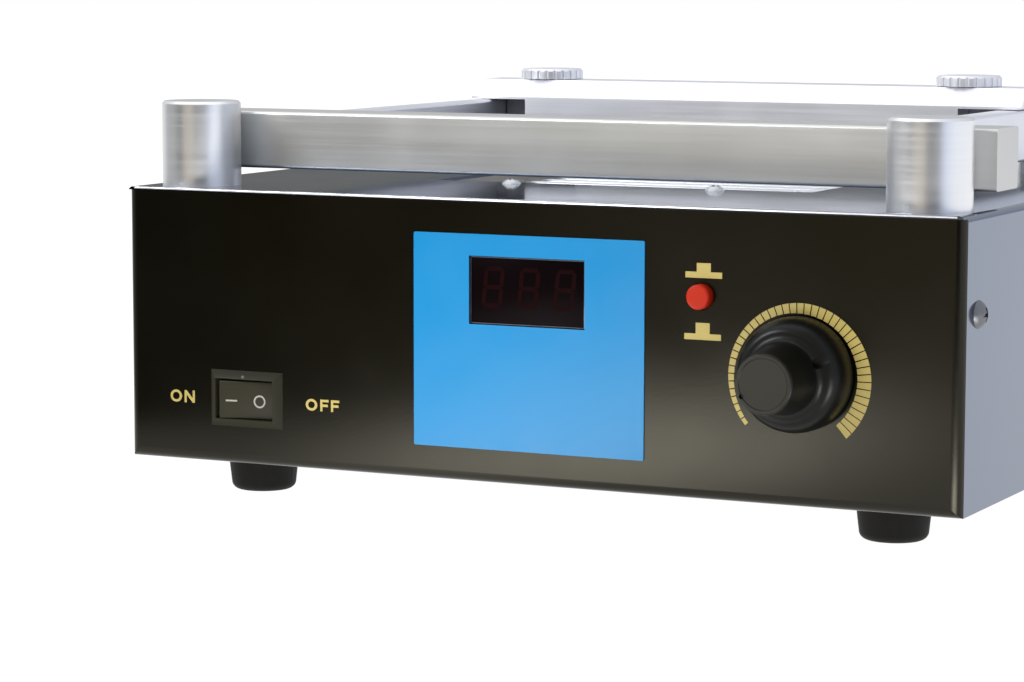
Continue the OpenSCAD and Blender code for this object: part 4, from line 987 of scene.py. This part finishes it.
# %% Ring of ticks round the knob
DIAL_X, DIAL_Z = 84.8, 35.7
RING_START, RING_SPAN, TICKS = 221.6, 270.2, 44
TICK_OUT, TICK_IN_FIRST, TICK_IN_LAST = 20.9, 19.7, 16.35
TICK_GAP, TICK_IN_BAND = 0.3, 1.0

tick_angle = math.radians(RING_SPAN / TICKS)
in_w, out_w = [2 * r * math.sin(tick_angle / 2) - TICK_GAP for r in (TICK_IN_LAST, TICK_OUT)]
dial = block((TICK_OUT - TICK_IN_LAST, in_w, INK), ((TICK_IN_LAST + TICK_OUT) / 2, 0, 0))
pick(dial, lambda c, n: n.x > FACING)
bpy.ops.transform.resize(value=(1, out_w / in_w, 1), center_override=(TICK_OUT * MM, 0, 0))
bpy.ops.mesh.select_all(action="SELECT")
bpy.ops.mesh.spin(steps=TICKS - 1, dupli=True, angle=-tick_angle * (TICKS - 1), center=(0, 0, 0),
                  axis=(0, 0, 1))
bpy.ops.mesh.select_mode(type="VERT")
for tick in range(TICKS):
    tick_way = outward(tick * tick_angle)
    bpy.ops.mesh.select_all(action="DESELECT")
    for vert in bmesh.from_edit_mesh(dial.data).verts:
        this_tick = vert.co.normalized().dot(tick_way) > math.cos(tick_angle / 2)
        vert.select_set(this_tick and vert.co.length < (TICK_IN_LAST + TICK_IN_BAND) * MM)
    tick_in = TICK_IN_LAST + (TICK_IN_FIRST - TICK_IN_LAST) * tick / (TICKS - 1)
    grow = tick_in / TICK_IN_LAST
    bpy.ops.transform.resize(value=(grow, grow, 1), center_override=(0, 0, 0))
hot_end = Matrix.Rotation(math.radians(RING_START - RING_SPAN) + tick_angle / 2, 4, "Z")
fit(dial, "print_dial", on_panel(DIAL_X, DIAL_Z) @ hot_end, "housing", gold_ink)

# %% [markdown]
# ## Signs at the button
# One upside-down T stands above the button and one below it, and the lower one has the longer stem. Each
# could be two bars laid over each other; one bar that is cut twice, with its middle pulled up, has no
# faces inside.

# %% Signs at the button
BUTTON_BAR, BUTTON_BAR_T, BUTTON_STEM = 11.0, 1.7, 4.2


def button_sign(name, x, low, stem_long):
    """A bar with a stem on its middle, in mm from the panel's middle and its lower edge."""
    piece = block((BUTTON_BAR, BUTTON_BAR_T, INK), (0, 0, 0))
    for side in (-1, 1):
        bpy.ops.mesh.select_all(action="SELECT")
        bpy.ops.mesh.bisect(plane_co=(side * BUTTON_STEM / 2 * MM, 0, 0), plane_no=(1, 0, 0))
    pick(piece, lambda c, n: n.y > FACING and abs(c.x) < NEAR)
    extrude((0, stem_long, 0))
    fit(piece, name, on_panel(x, low + BUTTON_BAR_T / 2), "housing", gold_ink)


button_sign("print_button_out", 56.3, 62.25, 2.45)
button_sign("print_button_in", 56.1, 45.0, 3.05)

# %% [markdown]
# ## The cover's front edge
# The cover's sheet is deburred along its front, and the rounded edge catches the light from above as one
# thin bright line over the black panel. The edge is also painted a far paler steel than the sheet, a
# painted highlight that makes the line brighter. A bevel in a finish's shading could fake the rounding;
# a long bar whose edges are bevelled round is there from every side.

# %% Rounded edge of the cover
COVER_TOP = 94.0
EDGE_LONG, EDGE_T, EDGE_PROUD = 259.0, 0.9, 0.05
EDGE_ROUND, EDGE_STEPS = 0.4, 4

edge_y = PANEL_Y - EDGE_PROUD + EDGE_T / 2
edge_z = COVER_TOP + EDGE_PROUD - EDGE_T / 2
cover_edge = block((EDGE_LONG, EDGE_T, EDGE_T), (0, edge_y, edge_z))
soften(cover_edge, EDGE_ROUND, EDGE_STEPS)
# The bar wears the paler edge steel, a painted highlight along the cover's front
fit(cover_edge, "cover_edge", Matrix.Identity(4), "housing", deburred_edge_highlight)
